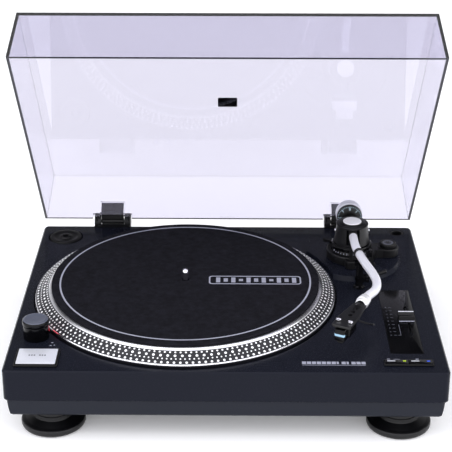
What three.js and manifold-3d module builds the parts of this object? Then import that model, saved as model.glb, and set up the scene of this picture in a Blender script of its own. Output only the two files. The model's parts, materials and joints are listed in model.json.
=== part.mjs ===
// Turntable record player: plinth on four feet, belt-driven platter, S-shaped tonearm, hinged dust cover.
// Millimetres, +X right, +Y back, +Z up. Every size below is measured from the centre of the plinth's top
// face; the last lines move the whole object so that z = 0 is the surface that its feet stand on.
import * as THREE from 'three';
import { mergeVertices } from 'three/addons/utils/BufferGeometryUtils.js';
import Module from 'manifold-3d';

const wasm = await Module();
wasm.setup();

const rad = THREE.MathUtils.degToRad;

// ---- clearances ----
const GAP = 0.3;            // between parts that sit on or in each other
const RUNNING_GAP = 0.5;    // between parts that move past each other

// ---- plinth ----
const PLINTH_WIDTH = 450;
const PLINTH_DEPTH = 352;
const SLAB_HEIGHT = 35;
const PLINTH_CORNER = 6;
const PLINTH_EDGE = 1.5;
const PLINTH_WALL = 6;
const DECK_THICKNESS = 14;
const TRAY_HEIGHT = 20;
const TRAY_INSET = 2.5;
const TRAY_TAPER = 3;
const TRAY_WALL = 3;

// ---- feet ----
const FOOT_RADIUS = 33.5;
const FOOT_RIM_HEIGHT = 8.5;
const FOOT_NECK_RADIUS = 21;
const FOOT_HEIGHT = 26.5;
const FOOT_INSET_X = 45;
const FOOT_INSET_Y = 38;

// ---- platter, mat and drive ----
const PLATTER_X = -45.7;
const PLATTER_Y = -3;
const PLATTER_RADIUS = 166;
const PLATTER_SIDE_GAP = 2;
const WELL_DEPTH = 8;
const PLATTER_TOP = 14;
const RIM_TOP = 3;
const RIM_BOTTOM = -2.5;
const LAND_WIDTH = 3.2;
const LIP_WIDTH = 1.3;
const WEB_THICKNESS = 4;
const MAT_RADIUS = 147.8;
const MAT_THICKNESS = 3;
const DRIVE_RING_RADIUS = 97;
const DRIVE_RING_WALL = 4;
const DRIVE_RING_BOTTOM = -4.5;
const SPINDLE_RADIUS = 3.55;
const SPINDLE_TOP = 30;
const SPINDLE_SHANK_RADIUS = 4;
const SPINDLE_BOTTOM = -38;
const BEARING_RADIUS = 10;
const BEARING_BOTTOM = -42;
const PULLEY_RADIUS = 6;
const PULLEY_ANGLE = 160;
const PULLEY_DISTANCE = 128;
const BELT_THICKNESS = 0.8;
const BELT_HEIGHT = 5;
const BELT_BOTTOM = -3.5;
const MOTOR_RADIUS = 17;
const MOTOR_HEIGHT = 26;

// ---- 45 rpm adapter, spare headshell socket, blanking plates ----
const ADAPTER_X = -195.5;
const ADAPTER_Y = 143.5;
const ADAPTER_RADIUS = 19;
const ADAPTER_RECESS = 7.5;
const SOCKET_X = 206.5;
const SOCKET_Y = 159.2;
const SOCKET_BORE = 6;
const SOCKET_DEPTH = 26;
const BLANK_X = 85.2;
const BLANK_Y = 147.5;
const BLANK_WIDTH = 27.5;
const BLANK_DEPTH = 36;
const LIGHT_BLANK_X = 42.5;
const LIGHT_BLANK_Y = -158;
const LIGHT_BLANK_WIDTH = 29.5;
const LIGHT_BLANK_DEPTH = 8;
const BLANK_THICKNESS = 1.5;

// ---- strobe column and power knob ----
const STROBE_X = -198.5;
const STROBE_Y = -105;
const STROBE_RADIUS = 13.4;
const STROBE_HEIGHT = 15.5;
const KNOB_RADIUS = 14;
const KNOB_HEIGHT = 6.2;
const LENS_WIDTH = 11;
const LENS_HEIGHT = 7.5;

// ---- start button and speed buttons ----
const START_X = -192;
const START_Y = -150.5;
const START_WIDTH = 40;
const START_DEPTH = 31;
const START_TOP = 3;
const START_TRAVEL = 1.5;
const SPEED_X = 184.7;
const SPEED_Y = -157;
const SPEED_WIDTH = 23.6;
const SPEED_DEPTH = 9;
const SPEED_TOP = 2.6;
const SPEED_TRAVEL = 1.2;
const BEZEL_WALL = 1.2;
const BEZEL_TOP = 2.2;
const BUTTON_SKIRT = 6;

// ---- pitch control ----
const PITCH_X = 185.7;
const PITCH_Y = -65.4;
const PITCH_WIDTH = 34;
const PITCH_DEPTH = 142;
const PITCH_PLATE = 1.5;
const SLOT_X = 194.8;
const SLOT_Y = -66.7;
const SLOT_LENGTH = 67;
const SLOT_WIDTH = 2.4;
const SLIDER_Y = -63;
const SLIDER_WIDTH = 17;
const SLIDER_DEPTH = 13;
const SLIDER_HEIGHT = 7;
const SLIDER_OFFSET_X = -2.2;

// ---- tonearm ----
const ARM_X = 144.5;
const ARM_Y = 82;
const ARM_Z = 39;
const ARM_BOARD_RADIUS = 57;
const ARM_BOARD_HEIGHT = 5.5;
const ARM_BASE_RADIUS = 28.5;
const ARM_BASE_TOP = 16;
const POD_X = 187.5;
const POD_Y = 88;
const POD_RADIUS = 12.5;
const LIFT_BOSS_X = 142;
const LIFT_BOSS_Y = 52;
const LIFT_BOSS_RADIUS = 7;
const PILLAR_RADIUS = 14;
const HEIGHT_RING_RADIUS = 23;
const HEIGHT_RING_HEIGHT = 8.2;
const HEIGHT_RING_TEETH = 18;
const HOUSING_BOTTOM = 25;
const HOUSING_TOP = 50;
const HOUSING_BOTTOM_RADIUS = 20.3;
const HOUSING_TOP_RADIUS = 18.6;
const HOUSING_SLOT = 15;
const CAP_THICKNESS = 3.2;
const PIVOT_CAP_RADIUS = 10.5;
const TUBE_RADIUS = 4.75;
const OFFSET_ANGLE = 26;
const COLLAR_X = 144.3;
const COLLAR_Y = -92.5;
const COLLAR_RADIUS = 6.8;
const COLLAR_LENGTH = 12.6;
const HEADSHELL_LENGTH = 54;
const HEADSHELL_FRONT = 20.5;
const HEADSHELL_REAR = 13.6;
const HEADSHELL_THICKNESS = 2.6;
const SCREW_X = 6.35;
const CARTRIDGE_LENGTH = 27;
const CARTRIDGE_WIDTH = 16.5;
const CARTRIDGE_HEIGHT = 15;
const STUB_LENGTH = 84;
const STUB_RADIUS = 4.6;
const WEIGHT_RADIUS = 15.6;
const WEIGHT_FRONT = 40.5;
const WEIGHT_LENGTH = 22;
const DIAL_RADIUS = 14.6;
const DIAL_LENGTH = 6;
const BAND_DISTANCE = 63;

// ---- arm rest, cue lever, anti-skate ----
const REST_X = 148.4;
const REST_Y = 13;
const REST_RADIUS = 4;
const EAR = 4.4;
const PIN_RADIUS = 0.9;
const CLIP_X = 159.3;
const CLIP_Z = 45.5;
const CLIP_LENGTH = 18;
const CLIP_ANGLE = 78;
const CUE_X = 156.2;
const CUE_Y = 6;
const CUE_Z = 15;
const CUE_LENGTH = 23;
const CUE_ANGLE = 22;
const STOP_GAP = 1.65;
const STOP_WIDTH = 2.4;
const LIFT_TOP = 30.6;
const LOCK_X = 121.7;
const LOCK_Y = 95.7;

// ---- dust cover and its hinges ----
const COVER_OPEN_ANGLE = 52.2;
const COVER_SIDE_INSET = 0.75;
const COVER_REAR_INSET = 1.3;
const COVER_FRONT_INSET = 2.7;
const COVER_HEIGHT = 59;
const COVER_DRAFT_X = 5.6;
const COVER_DRAFT_Y = 5;
const COVER_WALL = 3;
const COVER_LIFT = 0.5;
const HINGE_OVERHANG = 8.8;     // from the plinth's rear face back to the pins
const HINGE_AXIS_Z = 2.7;
const HINGE_X = 141.5;
const HINGE_WIDTH = 44;
const HINGE_CHEEK = 7.5;
const HINGE_CHEEK_RADIUS = 9.5;
const HINGE_PIN_RADIUS = 2;
const HINGE_FOOT_LAP = 5;
const HINGE_FOOT_TOP = 1.5;
const HINGE_PLATE_BOTTOM = -22;
const LEAF_WIDTH = 27;
const LEAF_THICKNESS = 3;
const LEAF_HEIGHT = 18;
const NOTCH_WIDTH = 48;
const NOTCH_HEIGHT = 5.8;
const POCKET_WALL = 1.2;
const BADGE_WIDTH = 22;
const BADGE_DEPTH = 18;

// ---- rear connections and electronics ----
const REAR_Z = -24.5;
const JACK_X = -85;
const INLET_X = 92;
const BOARD_THICKNESS = 1.6;
const BOARD_LIFT = 7.7;

const SLAB_BOTTOM = -SLAB_HEIGHT;
const TRAY_TOP = SLAB_BOTTOM - GAP;
const TRAY_BOTTOM = TRAY_TOP - TRAY_HEIGHT;
const WELL_RADIUS = PLATTER_RADIUS + PLATTER_SIDE_GAP;
const COVER_WIDTH = PLINTH_WIDTH - 2 * COVER_SIDE_INSET;
const COVER_REAR = PLINTH_DEPTH / 2 - COVER_REAR_INSET;
const COVER_FRONT = COVER_FRONT_INSET - PLINTH_DEPTH / 2;
const HINGE_AXIS_Y = PLINTH_DEPTH / 2 + HINGE_OVERHANG;
const DECK_BOTTOM = -DECK_THICKNESS;
const PULLEY_X = PLATTER_X + PULLEY_DISTANCE * Math.cos(rad(PULLEY_ANGLE));
const PULLEY_Y = PLATTER_Y + PULLEY_DISTANCE * Math.sin(rad(PULLEY_ANGLE));

// ---------------------------------------------------------------- geometry helpers

function toSolid(geometry) {
  const bare = geometry.clone();
  bare.deleteAttribute('normal');
  bare.deleteAttribute('uv');
  const merged = mergeVertices(bare, 1e-4);
  const index = merged.index.array;
  const corners = [];
  for (let i = 0; i < index.length; i += 3) {
    const [a, b, c] = [index[i], index[i + 1], index[i + 2]];
    if (a !== b && b !== c && c !== a) corners.push(a, b, c);
  }
  const mesh = new wasm.Mesh({
    numProp: 3,
    vertProperties: new Float32Array(merged.attributes.position.array),
    triVerts: new Uint32Array(corners),
  });
  return new wasm.Manifold(mesh);
}

function toGeometry(solid) {
  const mesh = solid.getMesh();
  const geometry = new THREE.BufferGeometry();
  geometry.setAttribute('position', new THREE.BufferAttribute(new Float32Array(mesh.vertProperties), 3));
  geometry.setIndex(new THREE.BufferAttribute(new Uint32Array(mesh.triVerts), 1));
  return geometry;
}

function join(...geometries) {
  const [first, ...others] = geometries.map(toSolid);
  return toGeometry(others.reduce((whole, next) => whole.add(next), first));
}

function cut(geometry, ...tools) {
  return toGeometry(tools.map(toSolid).reduce((rest, tool) => rest.subtract(tool), toSolid(geometry)));
}

function common(first, second) {
  return toGeometry(toSolid(first).intersect(toSolid(second)));
}

// A rounded rectangle centred on (x, y).
function roundedRect(width, depth, radius, x = 0, y = 0) {
  const right = x + width / 2 - radius;
  const left = x - width / 2 + radius;
  const back = y + depth / 2 - radius;
  const front = y - depth / 2 + radius;
  const shape = new THREE.Shape();
  shape.absarc(right, back, radius, 0, Math.PI / 2);
  shape.absarc(left, back, radius, Math.PI / 2, Math.PI);
  shape.absarc(left, front, radius, Math.PI, 1.5 * Math.PI);
  shape.absarc(right, front, radius, 1.5 * Math.PI, 2 * Math.PI);
  shape.closePath();
  return shape;
}

function disc(radius, x = 0, y = 0) {
  return new THREE.Shape().absarc(x, y, radius, 0, 2 * Math.PI);
}

function polygon(points) {
  return new THREE.Shape(points.map(([x, y]) => new THREE.Vector2(x, y)));
}

// A prism from z = bottom to z = top, its edges broken by the bevel.
function prism(shape, bottom, top, bevel = 0, curveSegments = 8) {
  const geometry = new THREE.ExtrudeGeometry(shape, {
    depth: top - bottom - 2 * bevel,
    bevelEnabled: bevel > 0,
    bevelThickness: bevel,
    bevelSize: bevel,
    bevelOffset: -bevel,
    bevelSegments: 1,
    curveSegments,
  });
  return geometry.translate(0, 0, bottom + bevel);
}

function box(x0, x1, y0, y1, z0, z1) {
  const geometry = new THREE.BoxGeometry(x1 - x0, y1 - y0, z1 - z0);
  return geometry.translate((x0 + x1) / 2, (y0 + y1) / 2, (z0 + z1) / 2);
}

// An upright cylinder; bottomRadius and topRadius may differ.
function post(x, y, bottomRadius, topRadius, bottom, top, segments = 24) {
  const geometry = new THREE.CylinderGeometry(topRadius, bottomRadius, top - bottom, segments);
  return geometry.rotateX(Math.PI / 2).translate(x, y, (bottom + top) / 2);
}

function rodAlongX(x0, x1, y, z, radius, segments = 16) {
  const geometry = new THREE.CylinderGeometry(radius, radius, x1 - x0, segments);
  return geometry.rotateZ(Math.PI / 2).translate((x0 + x1) / 2, y, z);
}

function rodAlongY(y0, y1, x, z, radius, segments = 16) {
  const geometry = new THREE.CylinderGeometry(radius, radius, y1 - y0, segments);
  return geometry.translate(x, (y0 + y1) / 2, z);
}

// A turned body on the upright axis through (x, y); the profile is [radius, z], going up the outside.
function turned(profile, x = 0, y = 0, segments = 20) {
  const points = profile.map(([radius, height]) => new THREE.Vector2(radius, height));
  return new THREE.LatheGeometry(points, segments).rotateX(Math.PI / 2).translate(x, y, 0);
}

// A turned body on an axis along -Y, its profile's heights counted from the rear end forwards.
function turnedAlongArm(profile, segments = 24) {
  const points = profile.map(([radius, length]) => new THREE.Vector2(radius, length));
  return new THREE.LatheGeometry(points, segments).rotateX(Math.PI);
}

// The outline of a round body with narrow flats cut all round it, for a finger grip.
function knurledDisc(outer, inner, teeth) {
  const points = [];
  for (let i = 0; i < teeth; i += 1) {
    const step = (2 * Math.PI) / teeth;
    for (const [share, radius] of [[0.1, outer], [0.6, outer], [0.7, inner], [1.0, inner]]) {
      points.push([radius * Math.cos((i + share) * step), radius * Math.sin((i + share) * step)]);
    }
  }
  return polygon(points);
}

// ---------------------------------------------------------------- materials

const finishes = {
  satinBlack: { color: 0x2b2c36, roughness: 0.55, metalness: 0.0 },
  trayBlack: { color: 0x343741, roughness: 0.6, metalness: 0.0 },
  mattBlack: { color: 0x17181c, roughness: 0.7, metalness: 0.0 },
  glossBlack: { color: 0x0c0d10, roughness: 0.15, metalness: 0.0 },
  rubber: { color: 0x121214, roughness: 0.85, metalness: 0.0 },
  felt: { color: 0x191a20, roughness: 0.95, metalness: 0.0 },
  aluminium: { color: 0xc9cad0, roughness: 0.3, metalness: 1.0 },
  chrome: { color: 0xe2e2e6, roughness: 0.08, metalness: 1.0 },
  silverPaint: { color: 0xb9bac6, roughness: 0.35, metalness: 0.6 },
  steel: { color: 0x9a9ca2, roughness: 0.4, metalness: 1.0 },
  brass: { color: 0xb08a3c, roughness: 0.3, metalness: 1.0 },
  smokedAcrylic: { color: 0xb9b6cc, roughness: 0.05, metalness: 0.0, transparent: true, opacity: 0.35 },
  redLens: { color: 0xc02638, roughness: 0.2, metalness: 0.0 },
  circuit: { color: 0x1d5c38, roughness: 0.5, metalness: 0.0 },
};

const turntable = new THREE.Group();

function add(name, geometry, finish, parent = turntable) {
  const mesh = new THREE.Mesh(geometry, new THREE.MeshStandardMaterial(finishes[finish]));
  mesh.name = name;
  parent.add(mesh);
  return mesh;
}

// ---------------------------------------------------------------- plinth

// The raised tonearm board: a disc with a sloped side, cut back where the platter turns.
function armBoard() {
  const slope = 3;
  const discBody = post(ARM_X + 1.5, ARM_Y + 1, ARM_BOARD_RADIUS, ARM_BOARD_RADIUS - slope,
    -1, ARM_BOARD_HEIGHT, 64);
  return cut(discBody, post(PLATTER_X, PLATTER_Y, WELL_RADIUS + 1.5, WELL_RADIUS + 3,
    -2, ARM_BOARD_HEIGHT + 1, 64));
}

function plinthHousing() {
  const slab = prism(roundedRect(PLINTH_WIDTH, PLINTH_DEPTH, PLINTH_CORNER), SLAB_BOTTOM, 0, PLINTH_EDGE, 4);
  const inside = box(-PLINTH_WIDTH / 2 + PLINTH_WALL, PLINTH_WIDTH / 2 - PLINTH_WALL,
    -PLINTH_DEPTH / 2 + PLINTH_WALL, PLINTH_DEPTH / 2 - PLINTH_WALL, SLAB_BOTTOM - 1, DECK_BOTTOM);
  const startHole = box(START_X - START_WIDTH / 2 + 1, START_X + START_WIDTH / 2 - 1,
    START_Y - START_DEPTH / 2 + 1, START_Y + START_DEPTH / 2 - 1, DECK_BOTTOM - 1, 1);
  const speedHole = box(SPEED_X - SPEED_WIDTH - 0.5, SPEED_X + SPEED_WIDTH + 0.5,
    SPEED_Y - SPEED_DEPTH / 2 + 0.8, SPEED_Y + SPEED_DEPTH / 2 - 0.8, DECK_BOTTOM - 1, 1);
  const pitchRecess = box(PITCH_X - PITCH_WIDTH / 2 - GAP, PITCH_X + PITCH_WIDTH / 2 + GAP,
    PITCH_Y - PITCH_DEPTH / 2 - GAP, PITCH_Y + PITCH_DEPTH / 2 + GAP, -PITCH_PLATE - GAP, 1);
  const pitchHole = box(SLOT_X - 6, SLOT_X + 6, SLOT_Y - SLOT_LENGTH / 2 - 6, SLOT_Y + SLOT_LENGTH / 2 + 6,
    DECK_BOTTOM - 1, 0);
  const blankRecess = prism(roundedRect(BLANK_WIDTH + 2 * GAP, BLANK_DEPTH + 2 * GAP, 1.3, BLANK_X, BLANK_Y),
    -BLANK_THICKNESS - GAP, 1, 0, 1);
  const lightRecess = prism(roundedRect(LIGHT_BLANK_WIDTH + 2 * GAP, LIGHT_BLANK_DEPTH + 2 * GAP,
    LIGHT_BLANK_DEPTH / 2 + GAP - 0.01, LIGHT_BLANK_X, LIGHT_BLANK_Y), -BLANK_THICKNESS - GAP, 1, 0, 4);
  const rearHole = (x, width, height) => box(x - width / 2, x + width / 2,
    PLINTH_DEPTH / 2 - PLINTH_WALL - 1, PLINTH_DEPTH / 2 + 1, REAR_Z - height / 2, REAR_Z + height / 2);
  return cut(
    join(slab, armBoard()),
    inside,
    post(PLATTER_X, PLATTER_Y, WELL_RADIUS, WELL_RADIUS, -WELL_DEPTH, 2, 64),
    post(PLATTER_X, PLATTER_Y, BEARING_RADIUS + GAP, BEARING_RADIUS + GAP, DECK_BOTTOM - 1, 0),
    post(PULLEY_X, PULLEY_Y, PULLEY_RADIUS + 1, PULLEY_RADIUS + 1, DECK_BOTTOM - 1, 0),
    post(ADAPTER_X, ADAPTER_Y, ADAPTER_RADIUS + 1.8, ADAPTER_RADIUS + 1.8, -ADAPTER_RECESS, 1, 24),
    post(SOCKET_X, SOCKET_Y, SOCKET_BORE + 2 + GAP, SOCKET_BORE + 2 + GAP, DECK_BOTTOM - 1, 1),
    post(STROBE_X, STROBE_Y, 6, 6, DECK_BOTTOM - 1, 1),
    post(ARM_X, ARM_Y, PILLAR_RADIUS + 4, PILLAR_RADIUS + 4, DECK_BOTTOM - 1, ARM_BOARD_HEIGHT + 1),
    post(LIFT_BOSS_X, LIFT_BOSS_Y, 3, 3, DECK_BOTTOM - 1, ARM_BOARD_HEIGHT + 1, 24),
    startHole, speedHole, pitchRecess, pitchHole, blankRecess, lightRecess,
    rearHole(JACK_X, 30, 13), rearHole(INLET_X, 13, 12),
  );
}

// The base tray closes the plinth from below; its sides draw in towards the bottom.
function baseTray() {
  const halfWidth = PLINTH_WIDTH / 2 - TRAY_INSET;
  const halfDepth = PLINTH_DEPTH / 2 - TRAY_INSET;
  const drawnIn = (along, taper, half, bottom) => {
    const profile = polygon([[-half + taper + bottom, TRAY_BOTTOM], [half - taper - bottom, TRAY_BOTTOM],
      [half - taper, TRAY_BOTTOM + bottom], [half, TRAY_TOP], [-half, TRAY_TOP],
      [-half + taper, TRAY_BOTTOM + bottom]]);
    const body = new THREE.ExtrudeGeometry(profile, { depth: 2 * along, bevelEnabled: false });
    return body.translate(0, 0, -along).rotateX(Math.PI / 2);
  };
  const sides = drawnIn(halfDepth, TRAY_TAPER, halfWidth, 2.5);
  const frontAndBack = drawnIn(halfWidth, TRAY_TAPER, halfDepth, 2.5).rotateZ(Math.PI / 2);
  const outline = roundedRect(2 * halfWidth, 2 * halfDepth, PLINTH_CORNER);
  const corners = prism(outline, TRAY_BOTTOM, TRAY_TOP, 0, 4);
  const hollow = box(-halfWidth + TRAY_TAPER + TRAY_WALL, halfWidth - TRAY_TAPER - TRAY_WALL,
    -halfDepth + TRAY_TAPER + TRAY_WALL, halfDepth - TRAY_TAPER - TRAY_WALL, TRAY_BOTTOM + TRAY_WALL, 0);
  return cut(common(common(sides, frontAndBack), corners), hollow);
}

// A wide rubber-soled foot on a narrower neck.
function foot(x, y) {
  const top = TRAY_BOTTOM - GAP;
  const bottom = top - FOOT_HEIGHT;
  return turned([[0, bottom], [FOOT_RADIUS - 3, bottom], [FOOT_RADIUS, bottom + 2],
    [FOOT_RADIUS, bottom + FOOT_RIM_HEIGHT - 1.5], [FOOT_RADIUS - 1.5, bottom + FOOT_RIM_HEIGHT],
    [FOOT_NECK_RADIUS, bottom + FOOT_RIM_HEIGHT + 3],
    [FOOT_NECK_RADIUS, top], [0, top]], x, y, 24);
}

function buildPlinth() {
  add('plinth_housing', plinthHousing(), 'satinBlack');
  add('base_tray', baseTray(), 'trayBlack');
  const footX = PLINTH_WIDTH / 2 - FOOT_INSET_X;
  const footY = PLINTH_DEPTH / 2 - FOOT_INSET_Y;
  add('foot_front_left', foot(-footX, -footY), 'rubber');
  add('foot_front_right', foot(footX, -footY), 'rubber');
  add('foot_rear_left', foot(-footX, footY), 'rubber');
  add('foot_rear_right', foot(footX, footY), 'rubber');
}

// ---------------------------------------------------------------- platter and drive

function platter() {
  const land = MAT_RADIUS + LAND_WIDTH;
  const seat = PLATTER_TOP;
  const bore = SPINDLE_SHANK_RADIUS + GAP;
  const under = seat - WEB_THICKNESS;
  const ringInside = DRIVE_RING_RADIUS - DRIVE_RING_WALL;
  return turned([[bore, under], [ringInside, under], [ringInside, DRIVE_RING_BOTTOM],
    [DRIVE_RING_RADIUS, DRIVE_RING_BOTTOM], [DRIVE_RING_RADIUS, under], [MAT_RADIUS, under],
    [PLATTER_RADIUS - 6, RIM_BOTTOM], [PLATTER_RADIUS - 0.6, RIM_BOTTOM], [PLATTER_RADIUS, RIM_TOP],
    [PLATTER_RADIUS - LIP_WIDTH, RIM_TOP + 1.1], [land, seat - 1.7], [MAT_RADIUS + 0.6, seat],
    [bore, seat], [bore, under]], PLATTER_X, PLATTER_Y, 64);
}

function slipmat() {
  const bottom = PLATTER_TOP + GAP;
  const hole = SPINDLE_RADIUS + GAP;
  return turned([[hole, bottom], [MAT_RADIUS, bottom], [MAT_RADIUS, bottom + MAT_THICKNESS],
    [hole, bottom + MAT_THICKNESS], [hole, bottom]], PLATTER_X, PLATTER_Y, 64);
}

function spindle() {
  const shoulder = PLATTER_TOP - GAP;
  return turned([[0, SPINDLE_BOTTOM], [SPINDLE_SHANK_RADIUS, SPINDLE_BOTTOM + 1],
    [SPINDLE_SHANK_RADIUS, shoulder], [SPINDLE_RADIUS, shoulder], [SPINDLE_RADIUS, SPINDLE_TOP - 4],
    [SPINDLE_RADIUS * 0.8, SPINDLE_TOP - 1.6], [SPINDLE_RADIUS * 0.4, SPINDLE_TOP - 0.3], [0, SPINDLE_TOP]],
  PLATTER_X, PLATTER_Y, 20);
}

function bearingHousing() {
  const bore = SPINDLE_SHANK_RADIUS + GAP;
  const flange = DECK_BOTTOM - GAP;
  return turned([[0, BEARING_BOTTOM], [BEARING_RADIUS, BEARING_BOTTOM], [BEARING_RADIUS, flange - 4],
    [BEARING_RADIUS + 9, flange - 4], [BEARING_RADIUS + 9, flange], [BEARING_RADIUS, flange],
    [BEARING_RADIUS, -WELL_DEPTH + 3], [bore, -WELL_DEPTH + 3], [bore, SPINDLE_BOTTOM - 1],
    [0, SPINDLE_BOTTOM - 1]], PLATTER_X, PLATTER_Y, 20);
}

function motorCan() {
  const top = DECK_BOTTOM - GAP;
  const bottom = top - MOTOR_HEIGHT;
  return turned([[0, bottom], [MOTOR_RADIUS, bottom], [MOTOR_RADIUS, top], [2, top], [2, bottom + 4],
    [0, bottom + 4]], PULLEY_X, PULLEY_Y, 20);
}

function motorPulley() {
  const flange = PULLEY_RADIUS + 0.8;
  return turned([[0, DECK_BOTTOM - GAP - MOTOR_HEIGHT + 6], [1.5, DECK_BOTTOM - GAP - MOTOR_HEIGHT + 6],
    [1.5, BELT_BOTTOM - 2], [flange, BELT_BOTTOM - 2], [flange, BELT_BOTTOM - 1],
    [PULLEY_RADIUS, BELT_BOTTOM - 0.5], [PULLEY_RADIUS, BELT_BOTTOM + BELT_HEIGHT + 0.5],
    [flange, BELT_BOTTOM + BELT_HEIGHT + 1], [0, BELT_BOTTOM + BELT_HEIGHT + 1]], PULLEY_X, PULLEY_Y, 16);
}

// The flat belt's loop: round the platter's drive ring and the motor pulley, straight between them.
function beltLoop(offset) {
  const big = DRIVE_RING_RADIUS + offset;
  const small = PULLEY_RADIUS + offset;
  const tangent = Math.acos((big - small) / PULLEY_DISTANCE);
  const towards = rad(PULLEY_ANGLE);
  const loop = new THREE.Shape();
  loop.absarc(PLATTER_X, PLATTER_Y, big, towards + tangent, towards - tangent + 2 * Math.PI);
  loop.absarc(PULLEY_X, PULLEY_Y, small, towards - tangent, towards + tangent);
  loop.closePath();
  return loop;
}

function driveBelt() {
  const loop = beltLoop(GAP + BELT_THICKNESS);
  loop.holes.push(beltLoop(GAP));
  return prism(loop, BELT_BOTTOM, BELT_BOTTOM + BELT_HEIGHT, 0, 20);
}

// The control board on four posts in the tray, with a transformer and a heat sink on it.
function circuitBoard() {
  const floor = TRAY_BOTTOM + TRAY_WALL + GAP;
  const under = floor + BOARD_LIFT;
  const [left, right, front, back] = [20, 150, -120, -20];
  const board = box(left, right, front, back, under, under + BOARD_THICKNESS);
  const transformer = box(left + 20, left + 42, front + 20, front + 50, under + 1, under + 14);
  const heatSink = box(right - 60, right - 20, back - 40, back - 24, under + 1, under + 10);
  const posts = [left + 8, right - 8].flatMap((x) => [front + 8, back - 8]
    .map((y) => post(x, y, 4, 4, floor, under + 1, 16)));
  return join(board, transformer, heatSink, ...posts);
}

function buildDrive() {
  add('platter', platter(), 'aluminium');
  add('slipmat', slipmat(), 'felt');
  add('spindle', spindle(), 'chrome');
  add('bearing_housing', bearingHousing(), 'brass');
  add('motor_can', motorCan(), 'steel');
  add('motor_pulley', motorPulley(), 'brass');
  add('drive_belt', driveBelt(), 'rubber');
  add('circuit_board', circuitBoard(), 'circuit');
}

// ---------------------------------------------------------------- small parts of the deck

function adapter45() {
  const bottom = -ADAPTER_RECESS + GAP;
  return turned([[SPINDLE_RADIUS + 0.1, bottom], [ADAPTER_RADIUS, bottom], [ADAPTER_RADIUS, 0.2],
    [ADAPTER_RADIUS - 1.2, 1.2], [ADAPTER_RADIUS - 5, 1.2], [ADAPTER_RADIUS - 7, 0.2], [7.5, 0.2], [6.5, 2],
    [SPINDLE_RADIUS + 0.1, 2], [SPINDLE_RADIUS + 0.1, bottom]], ADAPTER_X, ADAPTER_Y, 24);
}

function headshellSocket() {
  return turned([[0, -SOCKET_DEPTH], [SOCKET_BORE + 2, -SOCKET_DEPTH], [SOCKET_BORE + 2, -0.2],
    [SOCKET_BORE, -0.2], [SOCKET_BORE, -SOCKET_DEPTH + 2], [0, -SOCKET_DEPTH + 2]], SOCKET_X, SOCKET_Y, 20);
}

function strobeHousing() {
  const towards = Math.atan2(PLATTER_Y - STROBE_Y, PLATTER_X - STROBE_X);
  const column = turned([[0, -DECK_THICKNESS - 4], [5.5, -DECK_THICKNESS - 4], [5.5, GAP],
    [STROBE_RADIUS, GAP], [STROBE_RADIUS, STROBE_HEIGHT], [0, STROBE_HEIGHT]], 0, 0, 28);
  const window = box(STROBE_RADIUS - 3, STROBE_RADIUS + 3, -LENS_WIDTH / 2, LENS_WIDTH / 2,
    STROBE_HEIGHT - 3 - LENS_HEIGHT, STROBE_HEIGHT - 3);
  return cut(column, window.rotateZ(towards)).translate(STROBE_X, STROBE_Y, 0);
}

function strobeLens() {
  const towards = Math.atan2(PLATTER_Y - STROBE_Y, PLATTER_X - STROBE_X);
  const block = box(STROBE_RADIUS - 3 + GAP, STROBE_RADIUS + 3, -LENS_WIDTH / 2 + GAP, LENS_WIDTH / 2 - GAP,
    STROBE_HEIGHT - 3 - LENS_HEIGHT + GAP, STROBE_HEIGHT - 3 - GAP);
  const round = post(0, 0, STROBE_RADIUS + 0.2, STROBE_RADIUS + 0.2, 0, STROBE_HEIGHT, 28);
  return common(block.rotateZ(towards), round).translate(STROBE_X, STROBE_Y, 0);
}

function powerKnob() {
  const bottom = STROBE_HEIGHT + RUNNING_GAP;
  const top = bottom + KNOB_HEIGHT;
  const body = turned([[0, bottom], [KNOB_RADIUS - 0.6, bottom], [KNOB_RADIUS, bottom + 0.8],
    [KNOB_RADIUS, top - 2.6], [KNOB_RADIUS - 0.8, top - 1.2], [KNOB_RADIUS - 2.6, top - 0.2],
    [KNOB_RADIUS - 3.4, top], [0, top]], STROBE_X, STROBE_Y, 28);
  const front = STROBE_Y - KNOB_RADIUS;
  const pointer = box(STROBE_X - 0.6, STROBE_X + 0.6, front - 1, front + 0.4, bottom + 1, top - 3);
  return cut(body, pointer);
}

// A raised bezel round an opening, and the key that slides in it.
function bezel(x, y, width, depth, rib) {
  const grow = 2 * (BEZEL_WALL + rib);
  const outer = prism(roundedRect(width + grow, depth + grow, 1.2, x, y), GAP, BEZEL_TOP, 0.4, 1);
  const opening = box(x - width / 2 - GAP, x + width / 2 + GAP, y - depth / 2 - GAP, y + depth / 2 + GAP,
    -1, BEZEL_TOP + 1);
  return cut(outer, opening);
}

function key(x, y, width, depth, top, travel) {
  const cap = prism(roundedRect(width, depth, 0.8, x, y), GAP + travel, top, 0.3, 1);
  const skirt = box(x - width / 2 + 3, x + width / 2 - 3, y - depth / 2 + 1.6, y + depth / 2 - 1.6,
    -BUTTON_SKIRT, GAP + travel + 0.2);
  return join(cap, skirt);
}

function pitchPanel() {
  const outline = roundedRect(PITCH_WIDTH, PITCH_DEPTH, 0.6, PITCH_X, PITCH_Y);
  const slot = roundedRect(SLOT_WIDTH, SLOT_LENGTH, SLOT_WIDTH / 2 - 0.01, SLOT_X, SLOT_Y);
  return cut(prism(outline, -PITCH_PLATE, 0.1, 0.15, 1), prism(slot, -PITCH_PLATE - 1, 1, 0, 2));
}

// The fader's case under the panel, open along the top for the slider's stem.
function pitchFader() {
  const top = -PITCH_PLATE - 2 * GAP;
  const half = SLOT_LENGTH / 2 + 4;
  const body = box(SLOT_X - 5, SLOT_X + 5, SLOT_Y - half, SLOT_Y + half, top - 9, top);
  return cut(body, box(SLOT_X - 1.6, SLOT_X + 1.6, SLOT_Y - SLOT_LENGTH / 2, SLOT_Y + SLOT_LENGTH / 2,
    top - 7, top + 1));
}

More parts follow.
